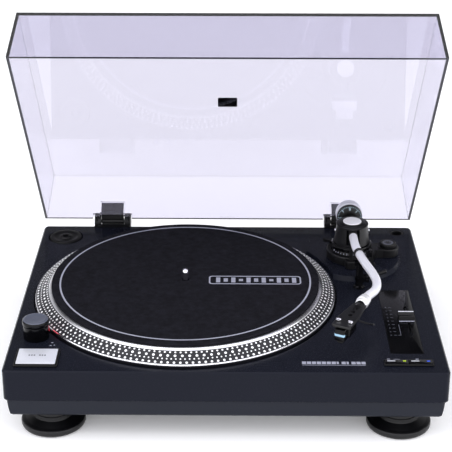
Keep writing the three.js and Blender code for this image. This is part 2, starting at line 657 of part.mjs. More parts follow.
// The fader knob: a ridged block with a dished top across it, on a flat stem.
function pitchSlider() {
  const x = SLOT_X + SLIDER_OFFSET_X;
  const half = SLIDER_DEPTH / 2;
  const top = SLIDER_HEIGHT;
  const profile = polygon([[-half, 0.9], [half, 0.9], [half - 1, top], [half - 2.2, top], [1.5, top - 2.2],
    [-1.5, top - 2.2], [-half + 2.2, top], [-half + 1, top]]);
  const block = new THREE.ExtrudeGeometry(profile, { depth: SLIDER_WIDTH, bevelEnabled: false });
  block.rotateX(Math.PI / 2).rotateZ(Math.PI / 2).translate(x - SLIDER_WIDTH / 2, SLIDER_Y, 0);
  const stem = box(SLOT_X - 0.8, SLOT_X + 0.8, SLIDER_Y - 2, SLIDER_Y + 2, -PITCH_PLATE - 4, 1.2);
  return join(block, stem);
}

function buildDeck() {
  add('adapter_45', adapter45(), 'mattBlack');
  add('spare_headshell_socket', headshellSocket(), 'mattBlack');
  const blank = roundedRect(BLANK_WIDTH, BLANK_DEPTH, 1, BLANK_X, BLANK_Y);
  add('blanking_plate', prism(blank, -BLANK_THICKNESS, 0, 0.2, 1), 'satinBlack');
  const lightBlank = roundedRect(LIGHT_BLANK_WIDTH, LIGHT_BLANK_DEPTH, LIGHT_BLANK_DEPTH / 2 - 0.01,
    LIGHT_BLANK_X, LIGHT_BLANK_Y);
  add('light_blank', prism(lightBlank, -BLANK_THICKNESS, 0, 0.2, 4), 'satinBlack');
  add('strobe_housing', strobeHousing(), 'glossBlack');
  add('strobe_lens', strobeLens(), 'redLens');
  add('power_knob', powerKnob(), 'satinBlack');
  add('start_stop_frame', bezel(START_X, START_Y, START_WIDTH, START_DEPTH, 1), 'mattBlack');
  const startKey = key(START_X, START_Y, START_WIDTH, START_DEPTH, START_TOP, START_TRAVEL);
  add('start_stop_button', startKey, 'silverPaint');
  add('speed_button_frame', bezel(SPEED_X, SPEED_Y, 2 * SPEED_WIDTH + 0.6, SPEED_DEPTH, 0), 'mattBlack');
  const speedStep = SPEED_WIDTH / 2 + 0.3;
  const speedKey = (x) => key(x, SPEED_Y, SPEED_WIDTH, SPEED_DEPTH, SPEED_TOP, SPEED_TRAVEL);
  add('speed_button_33', speedKey(SPEED_X - speedStep), 'glossBlack');
  add('speed_button_45', speedKey(SPEED_X + speedStep), 'glossBlack');
  add('pitch_panel', pitchPanel(), 'glossBlack');
  add('pitch_fader', pitchFader(), 'steel');
  add('pitch_slider', pitchSlider(), 'mattBlack');
}

// ---------------------------------------------------------------- tonearm

// The arm base: a disc with a lobe out to the anti-skate dial and a boss for the cue lift.
function armBase() {
  const bottom = ARM_BOARD_HEIGHT + GAP;
  const reach = new THREE.Vector2(POD_X - ARM_X, POD_Y - ARM_Y);
  const neck = roundedRect(reach.length(), 20, 1, reach.length() / 2, 0);
  const bar = prism(neck, bottom, ARM_BASE_TOP - 0.4, 0, 3);
  bar.rotateZ(reach.angle()).translate(ARM_X, ARM_Y, 0);
  const body = join(
    prism(disc(ARM_BASE_RADIUS, ARM_X, ARM_Y), bottom, ARM_BASE_TOP, 0.8, 14),
    prism(disc(POD_RADIUS, POD_X, POD_Y), bottom, ARM_BASE_TOP, 0.8, 8),
    bar,
    prism(disc(LIFT_BOSS_RADIUS, LIFT_BOSS_X, LIFT_BOSS_Y), bottom, ARM_BASE_TOP - 1, 0.6, 6),
  );
  return cut(body,
    post(ARM_X, ARM_Y, PILLAR_RADIUS + GAP, PILLAR_RADIUS + GAP, 0, ARM_BASE_TOP + 1),
    post(LIFT_BOSS_X, LIFT_BOSS_Y, 2.2 + GAP, 2.2 + GAP, 0, ARM_BASE_TOP + 1, 24),
    post(POD_X, POD_Y, 3.3, 3.3, ARM_BASE_TOP - 5, ARM_BASE_TOP + 1, 24));
}

function heightRing() {
  const bottom = ARM_BASE_TOP + GAP;
  const grip = prism(knurledDisc(HEIGHT_RING_RADIUS, HEIGHT_RING_RADIUS - 0.9, HEIGHT_RING_TEETH),
    bottom + 3.6, bottom + HEIGHT_RING_HEIGHT, 0, 8).translate(ARM_X, ARM_Y, 0);
  const radius = HEIGHT_RING_RADIUS;
  const skirt = post(ARM_X, ARM_Y, radius + 0.6, radius - 0.6, bottom, bottom + 3.8, 28);
  const inner = PILLAR_RADIUS + GAP;
  const bore = post(ARM_X, ARM_Y, inner, inner, 0, bottom + HEIGHT_RING_HEIGHT + 1);
  return cut(join(skirt, grip), bore);
}

function armPillar() {
  const top = HOUSING_BOTTOM - RUNNING_GAP;
  return turned([[6, -10], [PILLAR_RADIUS, -10], [PILLAR_RADIUS, top], [6, top], [6, -10]], ARM_X, ARM_Y, 24);
}

// The lock tab beside the height ring.
function armLockLever() {
  const bottom = ARM_BASE_TOP + GAP;
  const hub = post(LOCK_X, LOCK_Y, 2, 2, bottom, bottom + 4, 12);
  const tab = box(-9, 0, -1.6, 1.6, bottom + 1.4, bottom + 4);
  const step = box(-9, -6.4, -1.6, 1.6, bottom + 1.4, bottom + 6);
  return join(hub, join(tab, step).rotateZ(rad(-8)).translate(LOCK_X, LOCK_Y, 0));
}

// The bearing housing that turns with the arm: a tapered drum with an eight-sided cap, slotted for the tube.
function armHousing() {
  const capBottom = HOUSING_TOP - CAP_THICKNESS;
  const drum = turned([[0, HOUSING_BOTTOM], [HOUSING_BOTTOM_RADIUS, HOUSING_BOTTOM],
    [HOUSING_TOP_RADIUS - 0.8, capBottom], [0, capBottom]], ARM_X, ARM_Y, 28);
  const rim = turned([[0, capBottom - 0.1], [HOUSING_TOP_RADIUS, capBottom - 0.1],
    [HOUSING_TOP_RADIUS, capBottom + 1.2], [HOUSING_TOP_RADIUS - 1.6, capBottom + 2], [0, capBottom + 2]],
  ARM_X, ARM_Y, 28);
  const octagon = post(0, 0, HOUSING_TOP_RADIUS - 0.6, PIVOT_CAP_RADIUS + 2.6, capBottom + 1.6,
    HOUSING_TOP, 8);
  octagon.rotateZ(Math.PI / 8).translate(ARM_X, ARM_Y, 0);
  const slot = box(ARM_X - HOUSING_SLOT / 2, ARM_X + HOUSING_SLOT / 2, ARM_Y - 30, ARM_Y + 30,
    HOUSING_BOTTOM + 3, capBottom - 0.4);
  const pin = rodAlongX(ARM_X - 30, ARM_X + 30, ARM_Y, ARM_Z, 1.6, 16);
  const seat = post(ARM_X, ARM_Y, PIVOT_CAP_RADIUS + GAP, PIVOT_CAP_RADIUS + GAP, HOUSING_TOP - 0.8,
    HOUSING_TOP + 1, 24);
  return cut(join(drum, rim, octagon), slot, pin, seat);
}

function pivotCap() {
  const bottom = HOUSING_TOP - 0.5;
  const top = HOUSING_TOP + 1;
  return turned([[0, bottom], [PIVOT_CAP_RADIUS, bottom], [PIVOT_CAP_RADIUS, top - 0.6],
    [PIVOT_CAP_RADIUS - 0.8, top], [0, top]], ARM_X, ARM_Y, 24);
}

// The centre line of the S-shaped tube, from inside the bearing housing to the headshell collar.
function tubePath() {
  const along = new THREE.Vector2(Math.sin(rad(OFFSET_ANGLE)), Math.cos(rad(OFFSET_ANGLE)));
  const end = new THREE.Vector3(COLLAR_X, COLLAR_Y, ARM_Z);
  const before = new THREE.Vector3(COLLAR_X + 9 * along.x, COLLAR_Y + 9 * along.y, ARM_Z);
  return new THREE.CatmullRomCurve3([
    new THREE.Vector3(ARM_X, ARM_Y - 8, ARM_Z),
    new THREE.Vector3(ARM_X, ARM_Y - 24, ARM_Z),
    new THREE.Vector3(ARM_X + 0.6, ARM_Y - 44, ARM_Z),
    new THREE.Vector3(ARM_X + 3.6, ARM_Y - 66, ARM_Z),
    new THREE.Vector3(ARM_X + 8.6, ARM_Y - 91, ARM_Z),
    new THREE.Vector3(ARM_X + 14.2, ARM_Y - 116, ARM_Z),
    new THREE.Vector3(ARM_X + 15.9, ARM_Y - 136, ARM_Z),
    new THREE.Vector3(ARM_X + 12.2, ARM_Y - 153, ARM_Z),
    before,
    end,
  ]);
}

function armTube() {
  const path = tubePath();
  const sweep = { steps: 26, extrudePath: path, curveSegments: 5 };
  const bend = new THREE.ExtrudeGeometry(disc(TUBE_RADIUS), sweep);
  const block = prism(roundedRect(HOUSING_SLOT - 2, 20, 2, ARM_X, ARM_Y), ARM_Z - 5.5, ARM_Z + 5.5, 0.8, 3);
  const stub = rodAlongY(ARM_Y + 5, ARM_Y + STUB_LENGTH - 12, ARM_X, ARM_Z, STUB_RADIUS, 24);
  const pin = rodAlongX(ARM_X - 15, ARM_X + 15, ARM_Y, ARM_Z, 1.1, 16);
  return join(bend, block, stub, pin);
}

// What is on the far end of the tube is drawn straight, from the collar forwards, then turned by the offset.
function placeOnArm(geometry) {
  return geometry.rotateZ(-rad(OFFSET_ANGLE)).translate(COLLAR_X, COLLAR_Y, ARM_Z);
}

function lockingCollar() {
  const bore = TUBE_RADIUS + GAP;
  const ring = turnedAlongArm([[bore, -2], [COLLAR_RADIUS - 1.2, -2], [COLLAR_RADIUS - 0.6, 1.5],
    [COLLAR_RADIUS - 0.6, 3.4], [COLLAR_RADIUS, 4], [COLLAR_RADIUS, 7.4], [COLLAR_RADIUS - 0.6, 8],
    [COLLAR_RADIUS - 0.6, COLLAR_LENGTH - 1], [COLLAR_RADIUS - 1.4, COLLAR_LENGTH], [bore, COLLAR_LENGTH],
    [bore, -2]], 20);
  return placeOnArm(ring);
}

// The headshell: a flat plate with lightening holes and two slots for the cartridge screws, on a round plug.
function headshell() {
  const start = COLLAR_LENGTH + RUNNING_GAP;
  const end = start + HEADSHELL_LENGTH;
  const waist = start + 0.55 * HEADSHELL_LENGTH;
  const rear = HEADSHELL_REAR / 2;
  const front = HEADSHELL_FRONT / 2;
  const outline = polygon([[-rear, -start], [-front, -waist], [-front, -end + 2], [-front + 2, -end],
    [front - 2, -end], [front, -end + 2], [front, -waist], [rear, -start]].reverse());
  const plate = prism(outline, -1, HEADSHELL_THICKNESS - 1, 0.4, 2);
  const neck = rodAlongY(-start - 7, -start + 0.2, 0, 0, 4.2, 16).scale(1, 1, 0.8);
  const plug = rodAlongY(-start - 0.2, -6, 0, 0, TUBE_RADIUS - 0.6, 16);
  const hole = (x, y, rx, ry) => post(0, 0, 1, 1, -5, 5, 12).scale(rx, ry, 1).translate(x, -start - y, 0);
  const slot = (x) => prism(roundedRect(3.2, 9, 1.59, x, -end + 12), -5, 5, 0, 2);
  const holes = [13, 20.5, 28].map((y) => hole(0, y, 2.6, 2.6));
  return placeOnArm(cut(join(plate, neck, plug), ...holes, slot(-SCREW_X), slot(SCREW_X)));
}

function cartridgeFrontY() {
  return -(COLLAR_LENGTH + RUNNING_GAP + HEADSHELL_LENGTH) - 3;
}

function cartridgeScrew(x) {
  const y = cartridgeFrontY() + 13;
  const seat = HEADSHELL_THICKNESS - 1 + GAP;
  const head = post(x, y, 2.6, 2.6, seat, seat + 1.8, 20);
  const shank = post(x, y, 1.2, 1.2, -6, seat + 0.2, 16);
  return placeOnArm(cut(join(head, shank), box(x - 3, x + 3, y - 0.4, y + 0.4, seat + 1, seat + 3)));
}

function fingerLift() {
  const y = -(COLLAR_LENGTH + RUNNING_GAP) - 32;
  const root = HEADSHELL_FRONT / 2 + GAP;
  const path = new THREE.CatmullRomCurve3([
    new THREE.Vector3(root, y, -0.4),
    new THREE.Vector3(root + 7, y - 1, -0.4),
    new THREE.Vector3(root + 14, y - 3.4, 0.6),
    new THREE.Vector3(root + 19, y - 6.6, 3.2),
  ]);
  const sweep = { steps: 10, extrudePath: path, curveSegments: 4 };
  return placeOnArm(new THREE.ExtrudeGeometry(disc(1), sweep));
}

function cartridge() {
  const front = cartridgeFrontY();
  const rear = front + CARTRIDGE_LENGTH;
  const top = -1 - GAP;
  const bottom = top - CARTRIDGE_HEIGHT;
  const half = CARTRIDGE_WIDTH / 2;
  const side = polygon([[front, bottom + 5], [front + 3, bottom + 0.5], [front + 16, bottom + 2],
    [rear, bottom + 6], [rear, top], [front + 2, top]]);
  const body = new THREE.ExtrudeGeometry(side, { depth: 2 * half - 4, bevelEnabled: false });
  body.rotateX(Math.PI / 2).rotateZ(Math.PI / 2).translate(-half + 2, 0, 0);
  const ears = box(-half - 0.4, half + 0.4, front + 9, front + 17, top - 3, top);
  const hole = 1.2 + GAP;
  const holes = [-SCREW_X, SCREW_X].map((x) => post(x, front + 13, hole, hole, top - 8, top + 1, 16));
  const seat = box(-3.4 - GAP, 3.4 + GAP, front + 2.4, front + 12 + GAP, bottom - 3, bottom + 3.4 + GAP);
  return placeOnArm(cut(join(body, ears), ...holes, seat));
}

function stylus() {
  const front = cartridgeFrontY();
  const bottom = -1 - GAP - CARTRIDGE_HEIGHT;
  const grip = box(-3.4, 3.4, front + 2.8, front + 12, bottom - 1.2, bottom + 3.4);
  const cantilever = box(-0.5, 0.5, front + 5, front + 7, bottom - 3, bottom - 1);
  return placeOnArm(join(grip, cantilever));
}

function counterweight() {
  const rear = WEIGHT_FRONT + WEIGHT_LENGTH;
  const bore = STUB_RADIUS + GAP;
  const profile = [[bore, WEIGHT_FRONT], [WEIGHT_RADIUS - 1, WEIGHT_FRONT], [WEIGHT_RADIUS, WEIGHT_FRONT + 1],
    [WEIGHT_RADIUS, rear - 1.4], [WEIGHT_RADIUS - 1.4, rear], [bore, rear], [bore, WEIGHT_FRONT]];
  const points = profile.map(([radius, length]) => new THREE.Vector2(radius, length));
  return new THREE.LatheGeometry(points, 24).translate(ARM_X, ARM_Y, ARM_Z);
}

function forceDial() {
  const front = WEIGHT_FRONT - RUNNING_GAP - DIAL_LENGTH;
  const back = front + DIAL_LENGTH;
  const bore = STUB_RADIUS + GAP;
  const profile = [[bore, front], [DIAL_RADIUS - 3, front], [DIAL_RADIUS, front + 3], [DIAL_RADIUS, back],
    [bore, back], [bore, front]];
  const points = profile.map(([radius, length]) => new THREE.Vector2(radius, length));
  return new THREE.LatheGeometry(points, 24).translate(ARM_X, ARM_Y, ARM_Z);
}

// The dark sleeve on the tube where it lies in the arm rest.
function tubeSleeve() {
  const path = tubePath();
  const length = path.getLength();
  const centre = (BAND_DISTANCE - 8) / length;
  const at = path.getPointAt(centre);
  const direction = path.getTangentAt(centre);
  const bore = TUBE_RADIUS + GAP;
  const outer = bore + 0.8;
  const half = 2.4;
  const profile = [[bore, -half], [outer, -half], [outer, half], [bore, half], [bore, -half]];
  const ring = turnedAlongArm(profile, 24);
  return ring.rotateZ(Math.atan2(direction.x, -direction.y)).translate(at.x, at.y, at.z);
}

function armRest() {
  const base = ARM_Z - TUBE_RADIUS - 1.9;
  const postBody = turned([[0, GAP], [6.4, GAP], [6.4, 1.6], [REST_RADIUS + 0.4, 3], [REST_RADIUS, 9.6],
    [5.2, 10], [5.2, 13], [REST_RADIUS, 13.4], [REST_RADIUS, base - 2], [0, base - 2]], REST_X, REST_Y, 20);
  const stopX = REST_X + TUBE_RADIUS + STOP_GAP;
  const saddle = box(REST_X - 6, stopX + STOP_WIDTH, REST_Y - 3, REST_Y + 3, base - 4, base);
  const stop = box(stopX, stopX + STOP_WIDTH, REST_Y - EAR, REST_Y + EAR, base - 1, CLIP_Z - 2.2);
  const clipEars = [-1, 1].map((side) => box(stopX, CLIP_X + 1.8, -0.7, 0.7, CLIP_Z - 6, CLIP_Z + 1.8)
    .translate(0, REST_Y + side * (EAR - 0.7), 0));
  const cueMount = box(REST_X - 2, CUE_X - 3 - GAP, CUE_Y - EAR, CUE_Y + EAR, CUE_Z - 4, CUE_Z + 3);
  const cueEars = [-1, 1].map((side) => box(CUE_X - 4, CUE_X + 2, -0.7, 0.7, CUE_Z - 3, CUE_Z + 3)
    .translate(0, CUE_Y + side * (EAR - 0.7), 0));
  return cut(join(postBody, saddle, stop, ...clipEars, cueMount, ...cueEars),
    rodAlongY(REST_Y - 8, REST_Y + 8, CLIP_X, CLIP_Z, PIN_RADIUS + GAP, 12),
    rodAlongY(CUE_Y - 8, CUE_Y + 8, CUE_X, CUE_Z, PIN_RADIUS + GAP, 12));
}

// The clip, hanging outside its post; it turns up and over until its hook lies past the tube.
function armClip() {
  const half = EAR - 1.4 - GAP;
  const knuckle = rodAlongY(-half, half, 0, 0, 1.7, 16);
  const pin = rodAlongY(-EAR, EAR, 0, 0, PIN_RADIUS, 12);
  const arm = box(0, CLIP_LENGTH, -half, half, -1, 1);
  const hook = box(CLIP_LENGTH - 1.6, CLIP_LENGTH, -half, half, -1, 2.8);
  return join(knuckle, pin, arm, hook).rotateY(rad(CLIP_ANGLE)).translate(CLIP_X, REST_Y, CLIP_Z);
}

function cueLever() {
  const half = EAR - 1.4 - GAP;
  const hub = rodAlongY(-half, half, 0, 0, 2.6, 16);
  const pin = rodAlongY(-EAR, EAR, 0, 0, PIN_RADIUS, 12);
  const stem = rodAlongX(0, CUE_LENGTH - 7, 0, 0, 1.3, 12);
  const grip = rodAlongX(CUE_LENGTH - 8, CUE_LENGTH, 0, 0, 2.1, 16);
  return join(hub, pin, stem, grip).rotateY(rad(-CUE_ANGLE)).translate(CUE_X, CUE_Y, CUE_Z);
}

// The cue lift: a piston with a curved bar on top that follows the tube's sweep.
function cueLift() {
  const radius = Math.hypot(LIFT_BOSS_X - ARM_X, LIFT_BOSS_Y - ARM_Y);
  const start = rad(270 - 48);
  const end = rad(270 + 12);
  const bar = new THREE.Shape();
  bar.absarc(ARM_X, ARM_Y, radius + 1.8, start, end, false);
  bar.absarc(ARM_X, ARM_Y, radius - 1.8, end, start, true);
  bar.closePath();
  return join(prism(bar, LIFT_TOP - 2.4, LIFT_TOP, 0, 6),
    post(LIFT_BOSS_X, LIFT_BOSS_Y, 2.2, 2.2, 4, LIFT_TOP - 2, 24));
}

function antiskateDial() {
  const bottom = ARM_BASE_TOP + GAP;
  const shaft = post(POD_X, POD_Y, 2.9, 2.9, ARM_BASE_TOP - 4.5, bottom + 1, 24);
  const grip = prism(knurledDisc(9.6, 9.1, 12), bottom, bottom + 4.6, 0, 8).translate(POD_X, POD_Y, 0);
  const dish = [[0, bottom + 4.1], [7, bottom + 4.1], [7.4, bottom + 6], [0, bottom + 6]];
  const hollow = turned(dish, POD_X, POD_Y, 24);
  return cut(join(shaft, grip), hollow);
}

function buildTonearm() {
  add('arm_base', armBase(), 'mattBlack');
  add('height_ring', heightRing(), 'glossBlack');
  add('arm_pillar', armPillar(), 'steel');
  add('arm_lock_lever', armLockLever(), 'glossBlack');
  add('arm_housing', armHousing(), 'mattBlack');
  add('pivot_cap', pivotCap(), 'aluminium');
  add('arm_tube', armTube(), 'silverPaint');
  add('tube_sleeve', tubeSleeve(), 'rubber');
  add('locking_collar', lockingCollar(), 'chrome');
  add('headshell', headshell(), 'mattBlack');
  add('cartridge_screw_left', cartridgeScrew(-SCREW_X), 'chrome');
  add('cartridge_screw_right', cartridgeScrew(SCREW_X), 'chrome');
  add('finger_lift', fingerLift(), 'mattBlack');
  add('cartridge', cartridge(), 'glossBlack');
  add('stylus', stylus(), 'glossBlack');
  add('counterweight', counterweight(), 'silverPaint');
  add('force_dial', forceDial(), 'glossBlack');
  add('arm_rest', armRest(), 'mattBlack');
  add('arm_clip', armClip(), 'mattBlack');
  add('cue_lever', cueLever(), 'mattBlack');
  add('cue_lift', cueLift(), 'mattBlack');
  add('antiskate_dial', antiskateDial(), 'mattBlack');
}

// ---------------------------------------------------------------- dust cover and hinges

// A block with flat sides that lean in by the draft: wide at the rim, narrower at the top.
function leaningBlock(inset, bottom, top) {
  const ring = (level) => {
    const share = (level - COVER_LIFT) / COVER_HEIGHT;
    const halfX = COVER_WIDTH / 2 - inset - COVER_DRAFT_X * share;
    const back = COVER_REAR - inset - COVER_DRAFT_Y * share;
    const front = COVER_FRONT + inset + COVER_DRAFT_Y * share;
    return [[-halfX, front], [halfX, front], [halfX, back], [-halfX, back]];
  };
  const geometry = new THREE.BoxGeometry(1, 1, 1);
  const place = geometry.attributes.position;
  const corners = { low: ring(bottom), high: ring(top) };
  for (let i = 0; i < place.count; i += 1) {
    const level = place.getZ(i) > 0 ? 'high' : 'low';
    const side = (place.getX(i) > 0 ? 1 : 0) + (place.getY(i) > 0 ? 2 : 0);
    const corner = corners[level][[0, 1, 3, 2][side]];
    place.setXYZ(i, corner[0], corner[1], level === 'high' ? top : bottom);
  }
  return geometry;
}

const POCKET_DEPTH = LEAF_THICKNESS + 2 * GAP + POCKET_WALL;
const POCKET_HALF = LEAF_WIDTH / 2 + GAP + POCKET_WALL;

function dustCover() {
  const top = COVER_LIFT + COVER_HEIGHT;
  const shell = cut(leaningBlock(0, COVER_LIFT, top),
    leaningBlock(COVER_WALL, COVER_LIFT - 1, top - COVER_WALL));
  const inner = COVER_REAR - COVER_WALL;
  const pieces = [-HINGE_X, HINGE_X].map((x) => box(x - POCKET_HALF, x + POCKET_HALF,
    inner - POCKET_DEPTH, inner + 1, HINGE_FOOT_TOP + RUNNING_GAP, COVER_LIFT + LEAF_HEIGHT + 2));
  const slots = [-HINGE_X, HINGE_X].map((x) => box(x - LEAF_WIDTH / 2 - GAP, x + LEAF_WIDTH / 2 + GAP,
    inner - POCKET_DEPTH + POCKET_WALL, inner, COVER_LIFT - 1, COVER_LIFT + LEAF_HEIGHT + 0.8));
  const notches = [-HINGE_X, HINGE_X].map((x) => box(x - NOTCH_WIDTH / 2, x + NOTCH_WIDTH / 2,
    inner, COVER_REAR + 1, COVER_LIFT - 1, COVER_LIFT + NOTCH_HEIGHT));
  const footSpaces = [-HINGE_X, HINGE_X].map((x) => box(x - NOTCH_WIDTH / 2, x + NOTCH_WIDTH / 2,
    inner - POCKET_WALL, COVER_REAR + 1, COVER_LIFT - 1, HINGE_FOOT_TOP + RUNNING_GAP));
  return cut(join(shell, ...pieces), ...slots, ...notches, ...footSpaces);
}

// The fixed half of a hinge: two ribbed cheeks with a pin hole, on a foot that laps the plinth's rear edge.
function hingeBracket(x) {
  const half = HINGE_WIDTH / 2;
  const rear = PLINTH_DEPTH / 2 + GAP;
  const cheekProfile = new THREE.Shape();
  cheekProfile.absarc(HINGE_AXIS_Y, HINGE_AXIS_Z, HINGE_CHEEK_RADIUS, -Math.PI / 2, Math.PI - 0.2);
  cheekProfile.lineTo(HINGE_AXIS_Y - HINGE_CHEEK_RADIUS + 0.2, GAP);
  cheekProfile.lineTo(PLINTH_DEPTH / 2 + GAP, GAP);
  cheekProfile.lineTo(PLINTH_DEPTH / 2 + GAP, HINGE_AXIS_Z - HINGE_CHEEK_RADIUS);
  cheekProfile.closePath();
  const cheek = (x0) => {
    const sweep = { depth: HINGE_CHEEK, bevelEnabled: false, curveSegments: 5 };
    const body = new THREE.ExtrudeGeometry(cheekProfile, sweep);
    return body.rotateX(Math.PI / 2).rotateZ(Math.PI / 2).translate(x0, 0, 0);
  };
  const foot = box(x - half, x + half, PLINTH_DEPTH / 2 - HINGE_FOOT_LAP, rear + 1, GAP, HINGE_FOOT_TOP);
  const plate = box(x - half, x + half, rear, rear + 2, HINGE_PLATE_BOTTOM, HINGE_FOOT_TOP);
  const hole = rodAlongX(x - half - 1, x + half + 1, HINGE_AXIS_Y, HINGE_AXIS_Z, HINGE_PIN_RADIUS + GAP, 16);
  const ribs = [-1, 1].flatMap((side) => [4, 7.6].map((y) => box(-0.8, 0.8, -1, 1, 0, HINGE_CHEEK_RADIUS + 4)
    .translate(x + side * (half - 2.8), HINGE_AXIS_Y - y, HINGE_AXIS_Z)));
  const bracket = join(cheek(x - half), cheek(x + half - HINGE_CHEEK), foot, plate);
  return cut(bracket, hole, ...ribs);
}

// The moving half: a knuckle on its pin, a short arm, and the leaf that stands in the cover's pocket.
function hingeLeaf(x) {
  const half = LEAF_WIDTH / 2;
  const back = COVER_REAR - COVER_WALL - GAP;
  const knuckle = rodAlongX(x - half, x + half, HINGE_AXIS_Y, HINGE_AXIS_Z, 4, 24);
  const pin = rodAlongX(x - HINGE_WIDTH / 2 + 1, x + HINGE_WIDTH / 2 - 1, HINGE_AXIS_Y, HINGE_AXIS_Z,
    HINGE_PIN_RADIUS, 16);
  const arm = box(x - half, x + half, back - LEAF_THICKNESS, HINGE_AXIS_Y, HINGE_AXIS_Z - 0.7,
    HINGE_AXIS_Z + 2.3);
  const leaf = box(x - half, x + half, back - LEAF_THICKNESS, back, HINGE_AXIS_Z - 0.7,
    COVER_LIFT + LEAF_HEIGHT);
  return join(knuckle, pin, arm, leaf);
}

function buildCover() {
  add('hinge_bracket_left', hingeBracket(-HINGE_X), 'mattBlack');
  add('hinge_bracket_right', hingeBracket(HINGE_X), 'mattBlack');
  const open = (geometry) => geometry.translate(0, -HINGE_AXIS_Y, -HINGE_AXIS_Z)
    .rotateX(-rad(COVER_OPEN_ANGLE)).translate(0, HINGE_AXIS_Y, HINGE_AXIS_Z);
  add('hinge_leaf_left', open(hingeLeaf(-HINGE_X)), 'mattBlack');
  add('hinge_leaf_right', open(hingeLeaf(HINGE_X)), 'mattBlack');
  add('dust_cover', open(dustCover()), 'smokedAcrylic');
  const plateBottom = COVER_LIFT + COVER_HEIGHT + GAP;
  const badge = prism(roundedRect(BADGE_WIDTH, BADGE_DEPTH, 1), plateBottom, plateBottom + 1, 0.2, 1);
  add('cover_badge', open(badge), 'mattBlack');
}

// ---------------------------------------------------------------- rear panel

function buildRear() {
  const rear = PLINTH_DEPTH / 2;
  const wall = rear - PLINTH_WALL;
  const z = REAR_Z;
  const jackPlate = join(box(JACK_X - 19, JACK_X + 19, rear + GAP, rear + GAP + 1.2, z - 9, z + 9),
    box(JACK_X - 14, JACK_X + 14, wall - 4, rear + GAP + 0.4, z - 6, z + 6));
  const sleeves = [-8, 8].map((x) => rodAlongY(rear, rear + 9, JACK_X + x, z, 4.1, 24));
  const bores = [-8, 8].map((x) => rodAlongY(rear - 2, rear + 10, JACK_X + x, z, 1.7, 16));
  add('audio_jack_plate', cut(join(jackPlate, ...sleeves), ...bores), 'chrome');
  const groundY = rear + GAP;
  add('ground_post', join(rodAlongY(groundY, groundY + 2, JACK_X + 32, z, 3.6, 20),
    rodAlongY(groundY + 1.8, groundY + 6, JACK_X + 32, z, 1.5, 16),
    rodAlongY(groundY + 4, groundY + 8, JACK_X + 32, z, 3.4, 12)), 'chrome');
  const inlet = join(box(INLET_X - 6, INLET_X + 6, wall - 4, rear + GAP + 0.8, z - 5.5, z + 5.5),
    box(INLET_X - 9, INLET_X + 9, rear + GAP, rear + GAP + 1.2, z - 8, z + 8));
  add('power_inlet', cut(inlet, rodAlongY(rear - 8, rear + 5, INLET_X, z, 3, 20)), 'glossBlack');
}

buildPlinth();
buildDrive();
buildDeck();
buildTonearm();
buildCover();
buildRear();

// The origin is the middle of the bounding box's underside.
const bounds = new THREE.Box3().setFromObject(turntable);
turntable.position.set(-(bounds.min.x + bounds.max.x) / 2, -(bounds.min.y + bounds.max.y) / 2, -bounds.min.z);

export default turntable;
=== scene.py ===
"""Turntable record player with its dust cover raised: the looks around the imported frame.

Sizes are in millimetres unless a name or comment says otherwise; MM turns them into Blender's metres.
"""

import json
import math

import bpy
from mathutils import Matrix, Vector

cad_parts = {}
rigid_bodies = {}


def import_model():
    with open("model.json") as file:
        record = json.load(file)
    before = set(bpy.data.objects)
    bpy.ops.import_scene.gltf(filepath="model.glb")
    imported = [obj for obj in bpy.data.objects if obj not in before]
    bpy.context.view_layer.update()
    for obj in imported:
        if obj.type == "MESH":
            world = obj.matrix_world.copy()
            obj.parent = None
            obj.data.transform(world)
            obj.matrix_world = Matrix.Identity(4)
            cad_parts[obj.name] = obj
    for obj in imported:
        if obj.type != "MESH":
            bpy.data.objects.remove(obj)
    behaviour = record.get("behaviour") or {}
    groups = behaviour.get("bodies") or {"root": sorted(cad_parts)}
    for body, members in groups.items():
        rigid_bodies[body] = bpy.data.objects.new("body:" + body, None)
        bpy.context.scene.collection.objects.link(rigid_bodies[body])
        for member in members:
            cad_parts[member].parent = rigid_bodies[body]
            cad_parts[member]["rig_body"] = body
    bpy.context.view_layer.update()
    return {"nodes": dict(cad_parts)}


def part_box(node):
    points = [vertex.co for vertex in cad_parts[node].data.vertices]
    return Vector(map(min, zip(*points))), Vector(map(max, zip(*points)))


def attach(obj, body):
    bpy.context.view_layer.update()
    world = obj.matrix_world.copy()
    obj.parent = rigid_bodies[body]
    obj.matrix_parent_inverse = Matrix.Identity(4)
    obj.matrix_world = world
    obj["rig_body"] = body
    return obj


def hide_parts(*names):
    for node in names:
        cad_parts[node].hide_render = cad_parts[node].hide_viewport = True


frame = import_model()

MM = 0.001
NODES = frame["nodes"]
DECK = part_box("blanking_plate")[1].z / MM          # height of the deck's plane
RINGS = 96                                         # sides of a round piece
OFFSET = math.radians(26)                          # the headshell's angle to the arm


# ---------------------------------------------------------------- helpers for shapes

def middle(node):
    """The middle of a CAD node's box."""
    low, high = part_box(node)
    return (low + high) / (2 * MM)


def size(node):
    """The size of a CAD node's box."""
    low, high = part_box(node)
    return (high - low) / MM


def only(piece):
    """Selects the piece alone and makes it active."""
    bpy.ops.object.select_all(action="DESELECT")
    piece.select_set(True)
    bpy.context.view_layer.objects.active = piece


def edit(piece):
    """Enters edit mode on the piece, with all its edges selected."""
    only(piece)
    bpy.ops.object.mode_set(mode="EDIT")
    bpy.ops.mesh.select_mode(type="EDGE")
    bpy.ops.mesh.select_all(action="SELECT")


def leave():
    """Goes back to object mode."""
    bpy.ops.object.mode_set(mode="OBJECT")


def named(name):
    """Names the active object and its mesh."""
    piece = bpy.context.active_object
    piece.name = name
    piece.data.name = name
    return piece


def smooth(piece, angle=35):
    """Shades smoothly across edges blunter than the angle."""
    only(piece)
    bpy.ops.object.shade_smooth_by_angle(angle=math.radians(angle))
    return piece


